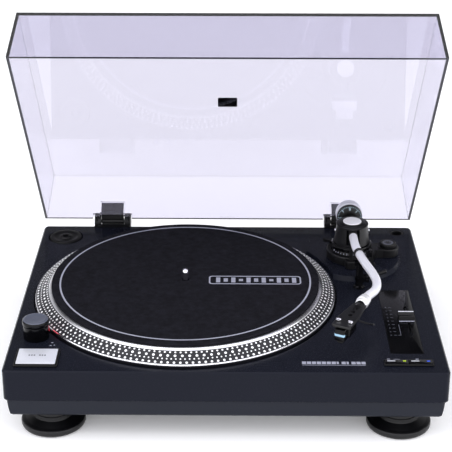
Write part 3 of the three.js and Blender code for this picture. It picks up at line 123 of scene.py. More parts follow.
def turned(name, profile, steps=RINGS, ring=False):
    """A body turned on the z axis. The profile is (radius, height), in order up the outside; a ring's goes
    right round its section, and comes back down its bore."""
    bpy.ops.object.select_all(action="DESELECT")
    radius, height = profile[0]
    bpy.ops.mesh.primitive_circle_add(vertices=steps, radius=radius * MM, location=(0, 0, height * MM))
    piece = named(name)
    bpy.ops.object.transform_apply(location=True)
    edit(piece)
    for next_radius, next_height in profile[1:]:
        rise = (0, 0, (next_height - height) * MM)
        bpy.ops.mesh.extrude_region_move(TRANSFORM_OT_translate={"value": rise})
        share = next_radius / radius
        bpy.ops.transform.resize(value=(share, share, 1), center_override=(0, 0, 0))
        radius, height = next_radius, next_height
    bpy.ops.mesh.select_all(action="DESELECT")
    bpy.ops.mesh.select_non_manifold()
    if ring:
        bpy.ops.mesh.bridge_edge_loops()
    else:
        bpy.ops.mesh.fill_holes(sides=0)
    bpy.ops.mesh.select_all(action="SELECT")
    bpy.ops.mesh.normals_make_consistent(inside=False)
    leave()
    return smooth(piece)


def place(piece, x=0, y=0, z=0, turn=None):
    """Turns a piece about the origin, moves it, and applies both to its mesh."""
    only(piece)
    if turn is not None:
        piece.data.transform(turn)
    piece.data.transform(Matrix.Translation(Vector((x, y, z)) * MM))
    return piece


def block(name, low, high, edge=0.5, segments=2, corner=0):
    """A box with rounded edges; corner rounds its four upright edges first."""
    bpy.ops.object.select_all(action="DESELECT")
    low, high = Vector(low) * MM, Vector(high) * MM
    bpy.ops.mesh.primitive_cube_add(size=1, location=(low + high) / 2, scale=high - low)
    piece = named(name)
    bpy.ops.object.transform_apply(location=True, scale=True)
    if corner:
        edit(piece)
        bpy.ops.mesh.select_all(action="DESELECT")
        leave()
        for line in piece.data.edges:
            ends = [piece.data.vertices[v].co for v in line.vertices]
            line.select = abs(ends[0].z - ends[1].z) > 0.5 * (high.z - low.z)
        bpy.ops.object.mode_set(mode="EDIT")
        bpy.ops.mesh.bevel(offset=corner * MM, segments=6, affect="EDGES")
        leave()
    if edge:
        round_edges(piece, edge, segments)
    return smooth(piece)


def round_edges(piece, width, segments=2, angle=40):
    """Rounds every edge sharper than the angle, and keeps the flats flat."""
    only(piece)
    bevel = piece.modifiers.new("rounded edges", "BEVEL")
    bevel.width = width * MM
    bevel.segments = segments
    bevel.limit_method = "ANGLE"
    bevel.angle_limit = math.radians(angle)
    bpy.ops.object.modifier_apply(modifier=bevel.name)


def weigh_normals(piece):
    """Keeps the shading of large flats level where small rounded edges meet them."""
    only(piece)
    weighted = piece.modifiers.new("level flats", "WEIGHTED_NORMAL")
    weighted.keep_sharp = True
    bpy.ops.object.modifier_apply(modifier=weighted.name)


def copy_of(node, name=None, edge=0.0, segments=2, angle=35):
    """A merged copy of a CAD node, with its edges rounded."""
    mesh = NODES[node].data.copy()
    mesh.materials.clear()
    piece = bpy.data.objects.new(name or node + "_finished", mesh)
    bpy.context.scene.collection.objects.link(piece)
    edit(piece)
    bpy.ops.mesh.remove_doubles(threshold=2e-6)
    bpy.ops.mesh.dissolve_limited(angle_limit=math.radians(1.5))
    leave()
    if edge:
        round_edges(piece, edge, segments, angle)
    smooth(piece, 38)
    weigh_normals(piece)
    return piece


def carve(piece, cutter):
    """Cuts the cutter's shape out of the piece, and removes the cutter."""
    only(piece)
    cut = piece.modifiers.new("cut", "BOOLEAN")
    cut.operation = "DIFFERENCE"
    cut.solver = "EXACT"
    cut.object = cutter
    bpy.ops.object.modifier_apply(modifier=cut.name)
    bpy.data.objects.remove(cutter)
    return smooth(piece)


def merged(name, pieces):
    """Joins the pieces into one, under that name."""
    bpy.ops.object.select_all(action="DESELECT")
    for piece in pieces:
        piece.select_set(True)
    bpy.context.view_layer.objects.active = pieces[0]
    if len(pieces) > 1:
        bpy.ops.object.join()
    return named(name)


def paint(piece, *materials):
    """Gives the piece these materials; every face takes the first."""
    piece.data.materials.clear()
    for material in materials:
        piece.data.materials.append(material)
    return piece


def paint_faces(piece, index, test):
    """Faces whose centre passes the test, which is given the centre in millimetres and the normal."""
    for face in piece.data.polygons:
        if test(face.center / MM, face.normal):
            face.material_index = index


def stands_for(piece, *nodes):
    """The piece replaces these CAD nodes and rides on their body."""
    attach(piece, NODES[nodes[0]]["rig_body"])
    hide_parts(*nodes)
    return piece


def printed(piece, material, node):
    """Paints an added piece and lets it ride with a CAD node."""
    paint(piece, material)
    return goes_with(piece, node)


def finished(node, *materials, name=None, **rounding):
    """A CAD node's copy with rounded edges, painted, and standing for it."""
    piece = copy_of(node, name, **rounding)
    paint(piece, *materials)
    return stands_for(piece, node)


def on_deck(piece, at):
    """Puts a piece that was drawn round the z axis upright at a point, with its zero height at the deck."""
    return place(piece, at.x, at.y, DECK)


def goes_with(piece, node):
    """An added piece, such as a print, that rides with a CAD node."""
    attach(piece, NODES[node]["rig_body"])
    return piece


# ---------------------------------------------------------------- helpers for materials

def linear(hex_colour):
    """An sRGB hex colour as linear RGBA."""
    parts = [int(hex_colour[i:i + 2], 16) / 255 for i in (0, 2, 4)]
    return [*(p / 12.92 if p <= 0.04045 else ((p + 0.055) / 1.055) ** 2.4 for p in parts), 1]


def put(tree, kind, inputs=(), **settings):
    """Adds a node, sets it up and links it: an input is a value, or (node, output)."""
    node = tree.nodes.new("ShaderNode" + kind)
    for name, value in settings.items():
        setattr(node, name, value)
    for name, value in dict(inputs).items():
        if isinstance(value, tuple) and hasattr(value[0], "outputs"):
            tree.links.new(value[0].outputs[value[1]], node.inputs[name])
        else:
            node.inputs[name].default_value = value
    return node


def surface(name, colour, roughness, metallic=0.0, **sockets):
    """A new material with a Principled shader; returns the material, its tree and its shader."""
    material = bpy.data.materials.new(name)
    material.use_nodes = True
    tree = material.node_tree
    shader = tree.nodes["Principled BSDF"]
    shader.inputs["Base Color"].default_value = linear(colour)
    shader.inputs["Roughness"].default_value = roughness
    shader.inputs["Metallic"].default_value = metallic
    for socket, value in sockets.items():
        shader.inputs[socket.replace("_", " ")].default_value = value
    return material, tree, shader


def grained(name, colour, other, roughness, grain, depth, metallic=0.0, spread=0.06, **sockets):
    """A surface with a fine grain of that width and depth, and a faint drift between two colours."""
    material, tree, shader = surface(name, colour, roughness, metallic, **sockets)
    where = put(tree, "TexCoord")
    drift = put(tree, "TexNoise", {"Vector": (where, "Object"), "Scale": 14.0, "Detail": 3.0})
    blend = put(tree, "Mix", {"Factor": (drift, "Fac"), 6: linear(colour), 7: linear(other)},
                data_type="RGBA")
    tree.links.new(blend.outputs[2], shader.inputs["Base Color"])
    fine = put(tree, "TexNoise", {"Vector": (where, "Object"), "Scale": 1 / (grain * MM), "Detail": 2.0})
    shine = put(tree, "MapRange", {"Value": (fine, "Fac"), "To Min": roughness - spread,
                                   "To Max": roughness + spread})
    tree.links.new(shine.outputs["Result"], shader.inputs["Roughness"])
    bump = put(tree, "Bump", {"Height": (fine, "Fac"), "Distance": depth * MM, "Strength": 0.6})
    tree.links.new(bump.outputs["Normal"], shader.inputs["Normal"])
    return material


def turned_metal(name, colour, roughness, centre, groove=0.5, depth=0.01, metallic=1.0, **sockets):
    """Metal faced on a lathe: fine rings round the centre, in its shine and its relief."""
    material, tree, shader = surface(name, colour, roughness, metallic, **sockets)
    where = put(tree, "TexCoord")
    local = put(tree, "VectorMath", {0: (where, "Object"), 1: tuple(centre * MM)}, operation="SUBTRACT")
    flat = put(tree, "VectorMath", {0: (local, "Vector"), 1: (1, 1, 0)}, operation="MULTIPLY")
    reach = put(tree, "VectorMath", {0: (flat, "Vector")}, operation="LENGTH")
    along = put(tree, "CombineXYZ", {"X": (reach, "Value")})
    rings = put(tree, "TexNoise", {"Vector": (along, "Vector"), "Scale": 1 / (groove * MM), "Detail": 3.0})
    shine = put(tree, "MapRange", {"Value": (rings, "Fac"), "To Min": roughness * 0.7,
                                   "To Max": roughness * 1.4})
    tree.links.new(shine.outputs["Result"], shader.inputs["Roughness"])
    bump = put(tree, "Bump", {"Height": (rings, "Fac"), "Distance": depth * MM, "Strength": 0.5})
    tree.links.new(bump.outputs["Normal"], shader.inputs["Normal"])
    return material


# ---------------------------------------------------------------- materials

PLATTER = middle("spindle")

# Satin polyurethane paint on the moulded plinth: nearly black, with a soft sheen and a fine orange peel.
deck_paint = grained("satin deck paint", "14161f", "161821", 0.26, 0.9, 0.01, Specular_IOR_Level=0.1)
# Textured ABS for the base tray: a little greyer and flatter than the painted slab.
tray_plastic = grained("textured tray ABS", "181b24", "1a1d26", 0.5, 1.2, 0.05, Specular_IOR_Level=0.18)
# Moulded matt ABS for the small fittings.
matt_plastic = grained("matt black ABS", "08080a", "0b0b0d", 0.4, 0.7, 0.02, Specular_IOR_Level=0.3)
# Polished black ABS of the speed keys, the pitch panel, the strobe column, the stylus and the like.
gloss_plastic = grained("polished black ABS", "050507", "070709", 0.16, 1.5, 0.004, spread=0.03,
                       Specular_IOR_Level=0.2)
# Semi-matt black powder coat on the arm's bearing housing, the headshell and its finger lift.
cast_black = grained("black powder coat", "08080b", "0b0b0e", 0.33, 0.8, 0.02, Specular_IOR_Level=0.4)
# Moulded rubber-like TPE for the feet, with a dull gloss on its round edges.
foot_rubber = grained("moulded foot rubber", "040406", "060608", 0.34, 1.0, 0.02, Specular_IOR_Level=0.4)
# Soft rubber of the drive belt and the sleeve on the tube.
soft_rubber = grained("soft black rubber", "101012", "151517", 0.7, 0.8, 0.02)
# Black anodised face of the platter's dotted band; the same dark paint on the platter's side and underside
# below the lip is partly painted shade there.
band_black_and_lip_shade = grained("black anodised band and shade under the lip", "15151b", "1b1b22", 0.45, 0.8, 0.01, 0.3)
# Lip and land left bright by the lathe.
bright_metal = turned_metal("bright turned aluminium", "f2f2f6", 0.24, PLATTER, 0.8, 0.01)
# Raised dots, blasted to a fine satin.
dot_metal = grained("bright raised dots", "f6f6fa", "ffffff", 0.36, 1.0, 0.01, 0.5)
# The platter's underside and top as cast and skimmed.
cast_metal = turned_metal("cast platter aluminium", "b9bac0", 0.4, PLATTER, 1.4, 0.02)
# Satin anodised aluminium tube: nearly white, with a broad soft highlight.
tube_metal = grained("satin anodised tube", "e6e6ef", "ededf4", 0.3, 0.6, 0.005, 0.25)
# Machined disc on the arm's pivot: rings round its own centre.
cap_metal = turned_metal("machined pivot disc", "f4f4f8", 0.34, middle("pivot_cap"), 0.6, 0.01, 0.35)
# Counterweight of brass under satin nickel paint.
weight_metal = grained("satin nickel", "e2e2ec", "eaeaf2", 0.34, 0.5, 0.005, 0.4)
# Polished chrome on the spindle, the screws, the jack plate and the ground post.
chrome = grained("polished chrome", "e8e8ee", "f2f2f6", 0.1, 2.0, 0.002, 1.0, spread=0.03)
# Silver-painted plastic of the start key.
silver_paint = grained("silver key paint", "e8ebf5", "f0f2fa", 0.3, 0.5, 0.004, 0.35)
# Satin grey cap of the power knob.
knob_grey = grained("satin knob cap", "4d515f", "545865", 0.36, 0.6, 0.004)
# Screen prints: white, and greys that fade into the panel under them.
print_white = grained("white screen print", "d6d8e2", "e0e2ea", 0.5, 0.4, 0.002)
print_grey = grained("grey screen print", "9698a8", "a2a4b2", 0.55, 0.4, 0.002)
print_dark = grained("dark screen print", "5a5c68", "62646f", 0.5, 0.4, 0.002)
# Pale blue prints on the force dial.
print_pale = grained("pale blue screen print", "b9d2e2", "c6dcea", 0.5, 0.4, 0.002)
# Moulded pale blue band across the cartridge's nose.
pale_band = grained("pale blue mark", "8fb4cc", "9cc0d6", 0.4, 0.4, 0.002)
# Satin chrome of the headshell's locking collar.
satin_chrome = grained("satin chrome", "f0f0f5", "fafafc", 0.24, 0.8, 0.004, 0.5)
# Bare steel of the pillar, the motor can and the fader.
steel = grained("brushed steel", "8f9197", "9b9da3", 0.4, 0.5, 0.01, 1.0)
# Turned brass of the spindle's bearing, the motor pulley and the cartridge's pins.
brass = grained("turned brass", "a98642", "b8924a", 0.32, 0.5, 0.01, 1.0)
# Green solder mask over the control board's laminate.
circuit = grained("circuit board laminate", "1a5234", "1f5c3b", 0.45, 1.2, 0.02)
# Red nylon ring of the right-hand jack.
red_insulator = grained("red insulator", "a01c22", "aa2228", 0.35, 0.6, 0.004)


def make_felt():
    """Pressed wool felt of the mat: short fibres and soft tufts, nearly without shine."""
    material, tree, shader = surface("pressed felt", "15151a", 0.95, Specular_IOR_Level=0.1)
    where = put(tree, "TexCoord")
    fibre = put(tree, "TexNoise", {"Vector": (where, "Object"), "Scale": 1 / (0.9 * MM), "Detail": 5.0,
                                   "Distortion": 1.5})
    tufts = put(tree, "TexNoise", {"Vector": (where, "Object"), "Scale": 1 / (6 * MM), "Detail": 3.0})
    both = put(tree, "Math", {0: (fibre, "Fac"), 1: (tufts, "Fac")}, operation="MULTIPLY")
    ramp = put(tree, "ValToRGB", {"Fac": (both, "Value")})
    ramp.color_ramp.elements[0].position = 0.12
    ramp.color_ramp.elements[0].color = linear("0c0c10")
    ramp.color_ramp.elements[1].position = 0.42
    ramp.color_ramp.elements[1].color = linear("1d1d24")
    tree.links.new(ramp.outputs["Color"], shader.inputs["Base Color"])
    bump = put(tree, "Bump", {"Height": (fibre, "Fac"), "Distance": 0.25 * MM, "Strength": 0.6})
    tree.links.new(bump.outputs["Normal"], shader.inputs["Normal"])
    return material


def make_acrylic():
    """Cast acrylic with a light smoke tint: clear, with polished faces and the odd faint wipe mark."""
    material, tree, shader = surface("smoke-tinted acrylic", "d9d7e3", 0.03, IOR=1.49,
                                     Transmission_Weight=1.0)
    where = put(tree, "TexCoord")
    haze = put(tree, "TexNoise", {"Vector": (where, "Object"), "Scale": 6.0, "Detail": 4.0})
    shine = put(tree, "MapRange", {"Value": (haze, "Fac"), "To Min": 0.0, "To Max": 0.03})
    tree.links.new(shine.outputs["Result"], shader.inputs["Roughness"])
    return material


def make_glow(name, colour, strength, glow):
    """A small lens with a lamp behind it."""
    material, tree, shader = surface(name, colour, 0.2, Emission_Strength=strength)
    shader.inputs["Emission Color"].default_value = linear(glow)
    where = put(tree, "TexCoord")
    cells = put(tree, "TexVoronoi", {"Vector": (where, "Object"), "Scale": 1 / (1.2 * MM)})
    bump = put(tree, "Bump", {"Height": (cells, "Distance"), "Distance": 0.1 * MM, "Strength": 0.4})
    tree.links.new(bump.outputs["Normal"], shader.inputs["Normal"])
    return material


felt = make_felt()
acrylic = make_acrylic()
# The sawn and flamed edge of the acrylic gathers the tint, and looks almost black.
acrylic_edge = grained("acrylic edge", "22222b", "2a2a34", 0.25, 0.8, 0.01)
red_lens = make_glow("red strobe lens", "c02638", 1.2, "ff5a6a")
green_light = make_glow("yellow-green lamp", "9db51e", 0.7, "b4cc2a")
blue_light = make_glow("blue lamp", "2a4fd0", 0.5, "3a62ff")


# ---------------------------------------------------------------- plinth, tray and feet

def make_plinth():
    """The painted slab, its base tray and the four feet."""
    finished("plinth_housing", deck_paint, edge=0.3, angle=30)
    finished("base_tray", tray_plastic, edge=0.8)
    for node in ("foot_front_left", "foot_front_right", "foot_rear_left", "foot_rear_right"):
        make_foot(node)


def make_foot(node):
    """A wide sole with a rounded rim, and a shoulder up to a narrower neck with two grooves."""
    radius = size(node).x / 2
    top = size(node).z
    foot = turned(node + "_moulded", [
        (radius - 5, 0), (radius - 2.4, 0.3), (radius - 0.6, 1.6), (radius, 3.2), (radius, 6.0),
        (radius - 0.5, 7.4), (radius - 1.8, 8.3), (radius - 4, 8.5), (radius - 5, 9.0), (23, 11.4),
        (21.3, 12.6), (21, 14), (21, 17), (20.3, 17.5), (20.3, 18.5), (21, 19), (21, 22), (20.3, 22.5),
        (20.3, 23.5), (21, 24), (21, top)])
    place(foot, middle(node).x, middle(node).y, 0)
    paint(foot, foot_rubber)
    stands_for(foot, node)


# ---------------------------------------------------------------- platter, mat and spindle

BAND_INNER, BAND_OUTER = 151.0, 164.7              # radii of the dotted band
BAND_TOP, BAND_BOTTOM = 12.3, 4.1                  # its heights above the deck
DOT_ROWS = ((0.13, 180, 1.05), (0.375, 133, 1.5), (0.61, 216, 0.85), (0.868, 160, 1.35))


def make_platter():
    """The cast platter: a turned land inside a dark sloped band, a bright lip, and the drive ring under it."""
    platter = turned("platter_turned", [
        (4.3, 10), (93, 10), (93, -4.5), (97, -4.5), (97, 10), (146, 10), (160, -2.5), (165.0, -2.5),
        (165.5, 0), (165.9, 2.4), (166, 3.1), (165.8, 3.7), (165.3, 4.25), (BAND_OUTER, 4.3),
        (BAND_OUTER - 0.1, BAND_BOTTOM), (BAND_INNER + 0.1, BAND_TOP - 0.1), (BAND_INNER, BAND_TOP + 0.1),
        (149.6, 13.2), (148.4, 13.9), (148.0, 14), (4.3, 14)], 192, ring=True)
    paint(platter, cast_metal, bright_metal, band_black_and_lip_shade)
    paint_faces(platter, 1, lambda c, n: math.hypot(c.x, c.y) > 147.5 and c.z > 2.5)
    paint_faces(platter, 2, lambda c, n: BAND_INNER + 0.05 < math.hypot(c.x, c.y) < BAND_OUTER - 0.05
                and 4 < c.z < 12.3)
    # The side and underside below the lip take the band's dark paint: partly a dark finish, partly painted
    # shade under the lip.
    paint_faces(platter, 2, lambda c, n: math.hypot(c.x, c.y) > 162 and c.z < 2.5)
    on_deck(platter, PLATTER)
    stands_for(platter, "platter")
    rows = [make_dots(*row) for row in DOT_ROWS]
    dots = merged("strobe_dots", rows)
    on_deck(dots, PLATTER)
    printed(dots, dot_metal, "platter")


def make_dots(share, count, radius):
    """One row of round dots that stand a little proud of the sloped band."""
    slope = math.atan2(BAND_TOP - BAND_BOTTOM, BAND_OUTER - BAND_INNER)
    reach = BAND_INNER + share * (BAND_OUTER - BAND_INNER)
    height = BAND_TOP + share * (BAND_BOTTOM - BAND_TOP)
    bpy.ops.object.select_all(action="DESELECT")
    bpy.ops.mesh.primitive_cylinder_add(vertices=10, radius=radius * MM, depth=0.7 * MM)
    dot = named("dot_row")
    edit(dot)
    bpy.ops.mesh.select_mode(type="FACE")
    bpy.ops.mesh.select_all(action="DESELECT")
    leave()
    for face in dot.data.polygons:
        face.select = face.normal.z > 0.9
    bpy.ops.object.mode_set(mode="EDIT")
    bpy.ops.mesh.bevel(offset=0.3 * radius * MM, segments=1, affect="EDGES")
    leave()
    dot.data.transform(Matrix.Translation((reach * MM, 0, height * MM)) @ Matrix.Rotation(slope, 4, "Y"))
    edit(dot)
    all_but_one = 2 * math.pi * (count - 1) / count
    bpy.ops.mesh.spin(steps=count - 1, dupli=True, angle=all_but_one, center=(0, 0, 0), axis=(0, 0, 1))
    bpy.ops.mesh.select_all(action="SELECT")
    bpy.ops.mesh.normals_make_consistent(inside=False)
    leave()
    return smooth(dot)


MAT_RADIUS = 147.8
MAT_TOP = 17.3


def make_mat():
    """The felt slipmat, with soft cut edges, its printed ring and a plain printed band."""
    mat = turned("slipmat_felt", [
        (4.2, 14.9), (4.6, 14.5), (MAT_RADIUS - 0.5, 14.5), (MAT_RADIUS, 15.1), (MAT_RADIUS, 16.7),
        (MAT_RADIUS - 0.7, MAT_TOP - 0.05), (120, MAT_TOP), (60, MAT_TOP), (4.6, MAT_TOP),
        (4.2, MAT_TOP - 0.4)], 160, ring=True)
    on_deck(mat, PLATTER)
    paint(mat, felt)
    stands_for(mat, "slipmat")
    z0, z1 = MAT_TOP + 0.02, MAT_TOP + 0.12
    ring = turned("mat_ring_print", [(137.2, z0), (139.0, z0), (139.0, z1), (137.2, z1)], 160, ring=True)
    on_deck(ring, PLATTER)
    printed(ring, print_grey, "slipmat")
    make_mat_band()


def make_mat_band():
    """A rounded frame with a row of plain bars in it, printed on the mat right of the spindle."""
    left, right, front, back = 26, 128, -12, 8
    z0, z1 = MAT_TOP + 0.02, MAT_TOP + 0.14
    frame_print = block("mat_band_frame", (left, front, z0), (right, back, z1), 0, corner=4)
    inner = block("mat_band_inner", (left + 1.6, front + 1.6, z0 - 1), (right - 1.6, back - 1.6, z1 + 1), 0,
                  corner=3)
    carve(frame_print, inner)
    bars = [frame_print]
    for i, height in enumerate((12, 8, 12, 5, 12, 8, 12, 5, 12, 8, 12)):
        x = left + 8 + i * 8.4
        bars.append(block("mat_bar", (x, -2 - height / 2, z0), (x + 4.6, -2 + height / 2, z1), 0))
    band = merged("mat_band_print", bars)
    on_deck(band, PLATTER)
    printed(band, print_grey, "slipmat")


def make_spindle():
    """The polished spindle, with a domed tip."""
    spindle = turned("spindle_polished", [
        (3, -38), (4, -37), (4, 13.7), (3.55, 13.8), (3.55, 25.5), (3.3, 27), (2.7, 28.6), (1.8, 29.6),
        (0.8, 29.95), (0.1, 30)], 48)
    on_deck(spindle, PLATTER)
    paint(spindle, chrome)
    stands_for(spindle, "spindle")


# ---------------------------------------------------------------- small parts of the deck

def make_adapter():
    """The 45 rpm adapter in its recess: a rim, a dished web and a hub."""
    adapter = turned("adapter_moulded", [
        (3.65, -7.2), (18.6, -7.2), (19, -6.8), (19, 0.2), (18.7, 0.9), (18, 1.2), (14.4, 1.2), (13.6, 0.9),
        (12, 0.25), (8.2, 0.2), (7.3, 0.5), (6.9, 1.6), (6.3, 2.0), (4.1, 2.0), (3.65, 1.6)], 96, ring=True)
    on_deck(adapter, middle("adapter_45"))
    paint(adapter, matt_plastic)
    stands_for(adapter, "adapter_45")


def make_socket():
    """The open well that holds a spare headshell."""
    at = middle("spare_headshell_socket")
    socket = turned("socket_moulded", [
        (7.5, -26), (8, -25.5), (8, -0.4), (7.7, -0.2), (6.3, -0.2), (6, -0.5), (6, -24), (0.1, -24)], 64)
    on_deck(socket, at)
    paint(socket, matt_plastic)
    stands_for(socket, "spare_headshell_socket")


def make_strobe():
    """The strobe column with its lens, and the power knob on top."""
    at = middle("power_knob")
    column = turned("strobe_column", [
        (5.2, -18), (5.5, -17.6), (5.5, 0.3), (13.2, 0.3), (13.4, 0.6), (13.4, 15.2), (13.1, 15.5)], 96)
    towards = math.atan2(PLATTER.y - at.y, PLATTER.x - at.x)
    window = block("window", (10.4, -5.5, 5), (17, 5.5, 12.5), 0)
    window.data.transform(Matrix.Rotation(towards, 4, "Z"))
    carve(column, window)
    on_deck(column, at)
    paint(column, gloss_plastic)
    stands_for(column, "strobe_housing")
    finished("strobe_lens", red_lens, edge=0.4)
    knob = turned("power_knob_moulded", [
        (12.9, 16.0), (13.7, 16.2), (14, 16.8), (14, 19.6), (13.7, 20.5), (13.0, 21.2), (12.0, 21.7),
        (11.2, 22.05), (10.6, 22.15), (10.2, 22.0), (9.8, 21.8), (4, 21.7)])
    notch = block("knob_notch", (-0.6, -16, 17), (0.6, -13.3, 19.6), 0)
    carve(knob, notch)
    paint(knob, gloss_plastic, knob_grey)
    paint_faces(knob, 1, lambda c, n: c.z > 21.4 and n.z > 0.7)
    on_deck(knob, at)
    stands_for(knob, "power_knob")


def rect(node, z0, z1, name, edge, shrink=0.0, corner=0.8, segments=2):
    """A rounded block over a node's footprint."""
    low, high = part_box(node)
    low, high = low / MM, high / MM
    near = (low.x + shrink, low.y + shrink, DECK + z0)
    far = (high.x - shrink, high.y - shrink, DECK + z1)
    return block(name, near, far, edge, segments, corner)


def make_start_key():
    """The silver start/stop key on its dark skirt, in its bezel, with a row of plain bars printed on it."""
    finished("start_stop_frame", matt_plastic, edge=0.25)
    cap = rect("start_stop_button", 1.85, 3.0, "start_key_cap", 0.35, 0, 1.0)
    skirt = rect("start_stop_button", -6, 2.0, "start_key_skirt", 0.2, 3)
    key = merged("start_key_painted", [cap, skirt])
    paint(key, silver_paint, matt_plastic)
    paint_faces(key, 1, lambda c, n: n.z < 0.5)
    stands_for(key, "start_stop_button")
    at = middle("start_stop_button")
    z0, z1 = DECK + 2.99, DECK + 3.06
    bars = [block("start_mark", (at.x + x - 0.8, at.y + 1, z0), (at.x + x + 0.8, at.y + 3, z1), 0)
            for x in (-8, -5.4, -2.8, 2.8, 5.4, 8)]
    mark = merged("start_mark_print", bars)
    printed(mark, print_dark, "start_stop_button")


def make_speed_keys():
    """Two polished keys in one bezel, each with a lamp and a plain printed bar."""
    finished("speed_button_frame", matt_plastic, edge=0.25)
    for node, lamp, colour in (("speed_button_33", "speed_lamp_33", green_light),
                               ("speed_button_45", "speed_lamp_45", blue_light)):
        cap = rect(node, 1.55, 2.6, node + "_cap", 0.3, 0, 0.8)
        skirt = rect(node, -6, 1.8, node + "_skirt", 0.2, 2.4)
        key = merged(node + "_polished", [cap, skirt])
        paint(key, gloss_plastic)
        stands_for(key, node)
        at = middle(node)
        light = block(lamp, (at.x + 6.2, at.y + 0.7, DECK + 2.55), (at.x + 9.4, at.y + 2.0, DECK + 2.75), 0.1)
        printed(light, colour, node)
        label = block(node + "_print", (at.x - 9.5, at.y + 0.8, DECK + 2.58),
                      (at.x - 1.5, at.y + 2.0, DECK + 2.66), 0)
        printed(label, print_white, node)


def make_pitch():
    """The polished pitch panel with its slot and scale, and the slider."""
    panel = rect("pitch_panel", -1.5, 0.1, "pitch_panel_polished", 0.15, 0, 0.6)
    rail = middle("pitch_fader")
    slot = block("slot", (rail.x - 1.2, rail.y - 33.5, DECK - 5), (rail.x + 1.2, rail.y + 33.5, DECK + 5), 0,
                 corner=1.1)
    carve(panel, slot)
    paint(panel, gloss_plastic)
    stands_for(panel, "pitch_panel")
    finished("pitch_slider", matt_plastic, edge=0.5)
    low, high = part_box("pitch_slider")
    low, high = low / MM, high / MM
    white = block("slider_white_line", (low.x + 0.3, high.y - 1.9, high.z - 0.3),
                  (high.x - 0.3, high.y - 0.5, high.z + 0.25), 0.05)
    printed(white, print_white, "pitch_slider")
    grey = block("slider_front_line", (low.x + 0.3, low.y - 0.15, DECK + 0.9),
                 (high.x - 0.3, low.y + 0.6, DECK + 2.0), 0.05)
    printed(grey, print_grey, "pitch_slider")
    make_pitch_scale(rail)


def make_pitch_scale(rail):
    """Ticks and numbers left of the slot, and a bracket at the scale's end."""
    z0, z1 = DECK + 0.08, DECK + 0.16
    reach = 31                                     # from the slot's middle to the last tick
    step = reach / 4
    marks = []
    for i in range(9):
        y = rail.y + reach - i * step
        marks.append(block("tick", (rail.x - 18.5, y - 0.3, z0), (rail.x - 15.6, y + 0.3, z1), 0))
    marks.append(block("scale_line", (rail.x - 11.6, rail.y - reach, z0), (rail.x - 11.0, rail.y - 8, z1), 0))
    end = rail.y - reach
    marks.append(block("scale_line", (rail.x - 14, end - 0.3, z0), (rail.x - 11, end + 0.3, z1), 0))
    for i, digit in enumerate("864202468"):
        marks.append(lettered(digit, 3.2, rail.x - 22.4, rail.y + reach - 1.1 - i * step, z0))
    scale = merged("pitch_scale_print", marks)
    printed(scale, print_dark, "pitch_panel")


def lettered(text, height, x, y, z):
    """A number as a thin flat mesh."""
    bpy.ops.object.select_all(action="DESELECT")
    bpy.ops.object.text_add(location=(x * MM, y * MM, z * MM))
    word = bpy.context.active_object
    word.data.body = text
    word.data.size = height * MM
    word.data.extrude = 0.04 * MM
    word.data.resolution_u = 3
    bpy.ops.object.convert(target="MESH")
    bpy.ops.object.transform_apply(location=True, rotation=True, scale=True)
    number = bpy.context.active_object
    edit(number)
    bpy.ops.mesh.remove_doubles(threshold=1e-7)
    leave()
    return number


def make_deck_prints():
    """A plain striped band where a name would be, and small marks by the power knob and the speed keys."""
    z0, z1 = DECK + 0.02, DECK + 0.1
    left, right = 77, 141
    back = middle("plinth_housing").y - 153.4
    bars = []
    for i in range(13):
        x = left + i * 5
        wide = 4.2 if i not in (7, 9) else 2.2
        bars.append(block("badge_bar", (x, back - 5, z0), (x + wide, back, z1), 0))
    bars.append(block("badge_line", (left, back - 7.4, z0), (right, back - 6.7, z1), 0))
    badge = merged("deck_badge_print", bars)
    printed(badge, print_grey, "plinth_housing")
    knob = middle("power_knob")
    small = [block("knob_mark", (knob.x + 17, knob.y - 13, z0), (knob.x + 19, knob.y - 11.6, z1), 0),
             block("knob_mark", (knob.x + 16, knob.y - 19, z0), (knob.x + 18, knob.y - 17.6, z1), 0),
             block("knob_mark", (knob.x + 20, knob.y - 18, z0), (knob.x + 21.4, knob.y - 16.8, z1), 0)]
    keys = middle("speed_button_frame")
    small += [block("speed_mark", (keys.x - 21, keys.y + 8, z0), (keys.x - 18, keys.y + 10, z1), 0),
              block("speed_mark", (keys.x - 15, keys.y + 8.4, z0), (keys.x - 8, keys.y + 9.4, z1), 0),
              block("speed_mark", (keys.x + 8, keys.y + 7.6, z0), (keys.x + 11, keys.y + 10.2, z1), 0)]
    marks = merged("deck_marks_print", small)
    printed(marks, print_grey, "plinth_housing")


def make_blanks():
    """The painted blanks in the deck."""
    for node in ("blanking_plate", "light_blank"):
        finished(node, deck_paint, edge=0.15)


# ---------------------------------------------------------------- tonearm

PIVOT = middle("pivot_cap")
ARM_HEIGHT = 39.0                                  # the tube's centre line above the deck
TUBE_RADIUS = 4.75
AXIS = Vector((PIVOT.x, PIVOT.y, DECK + ARM_HEIGHT))   # where the arm swings and tips


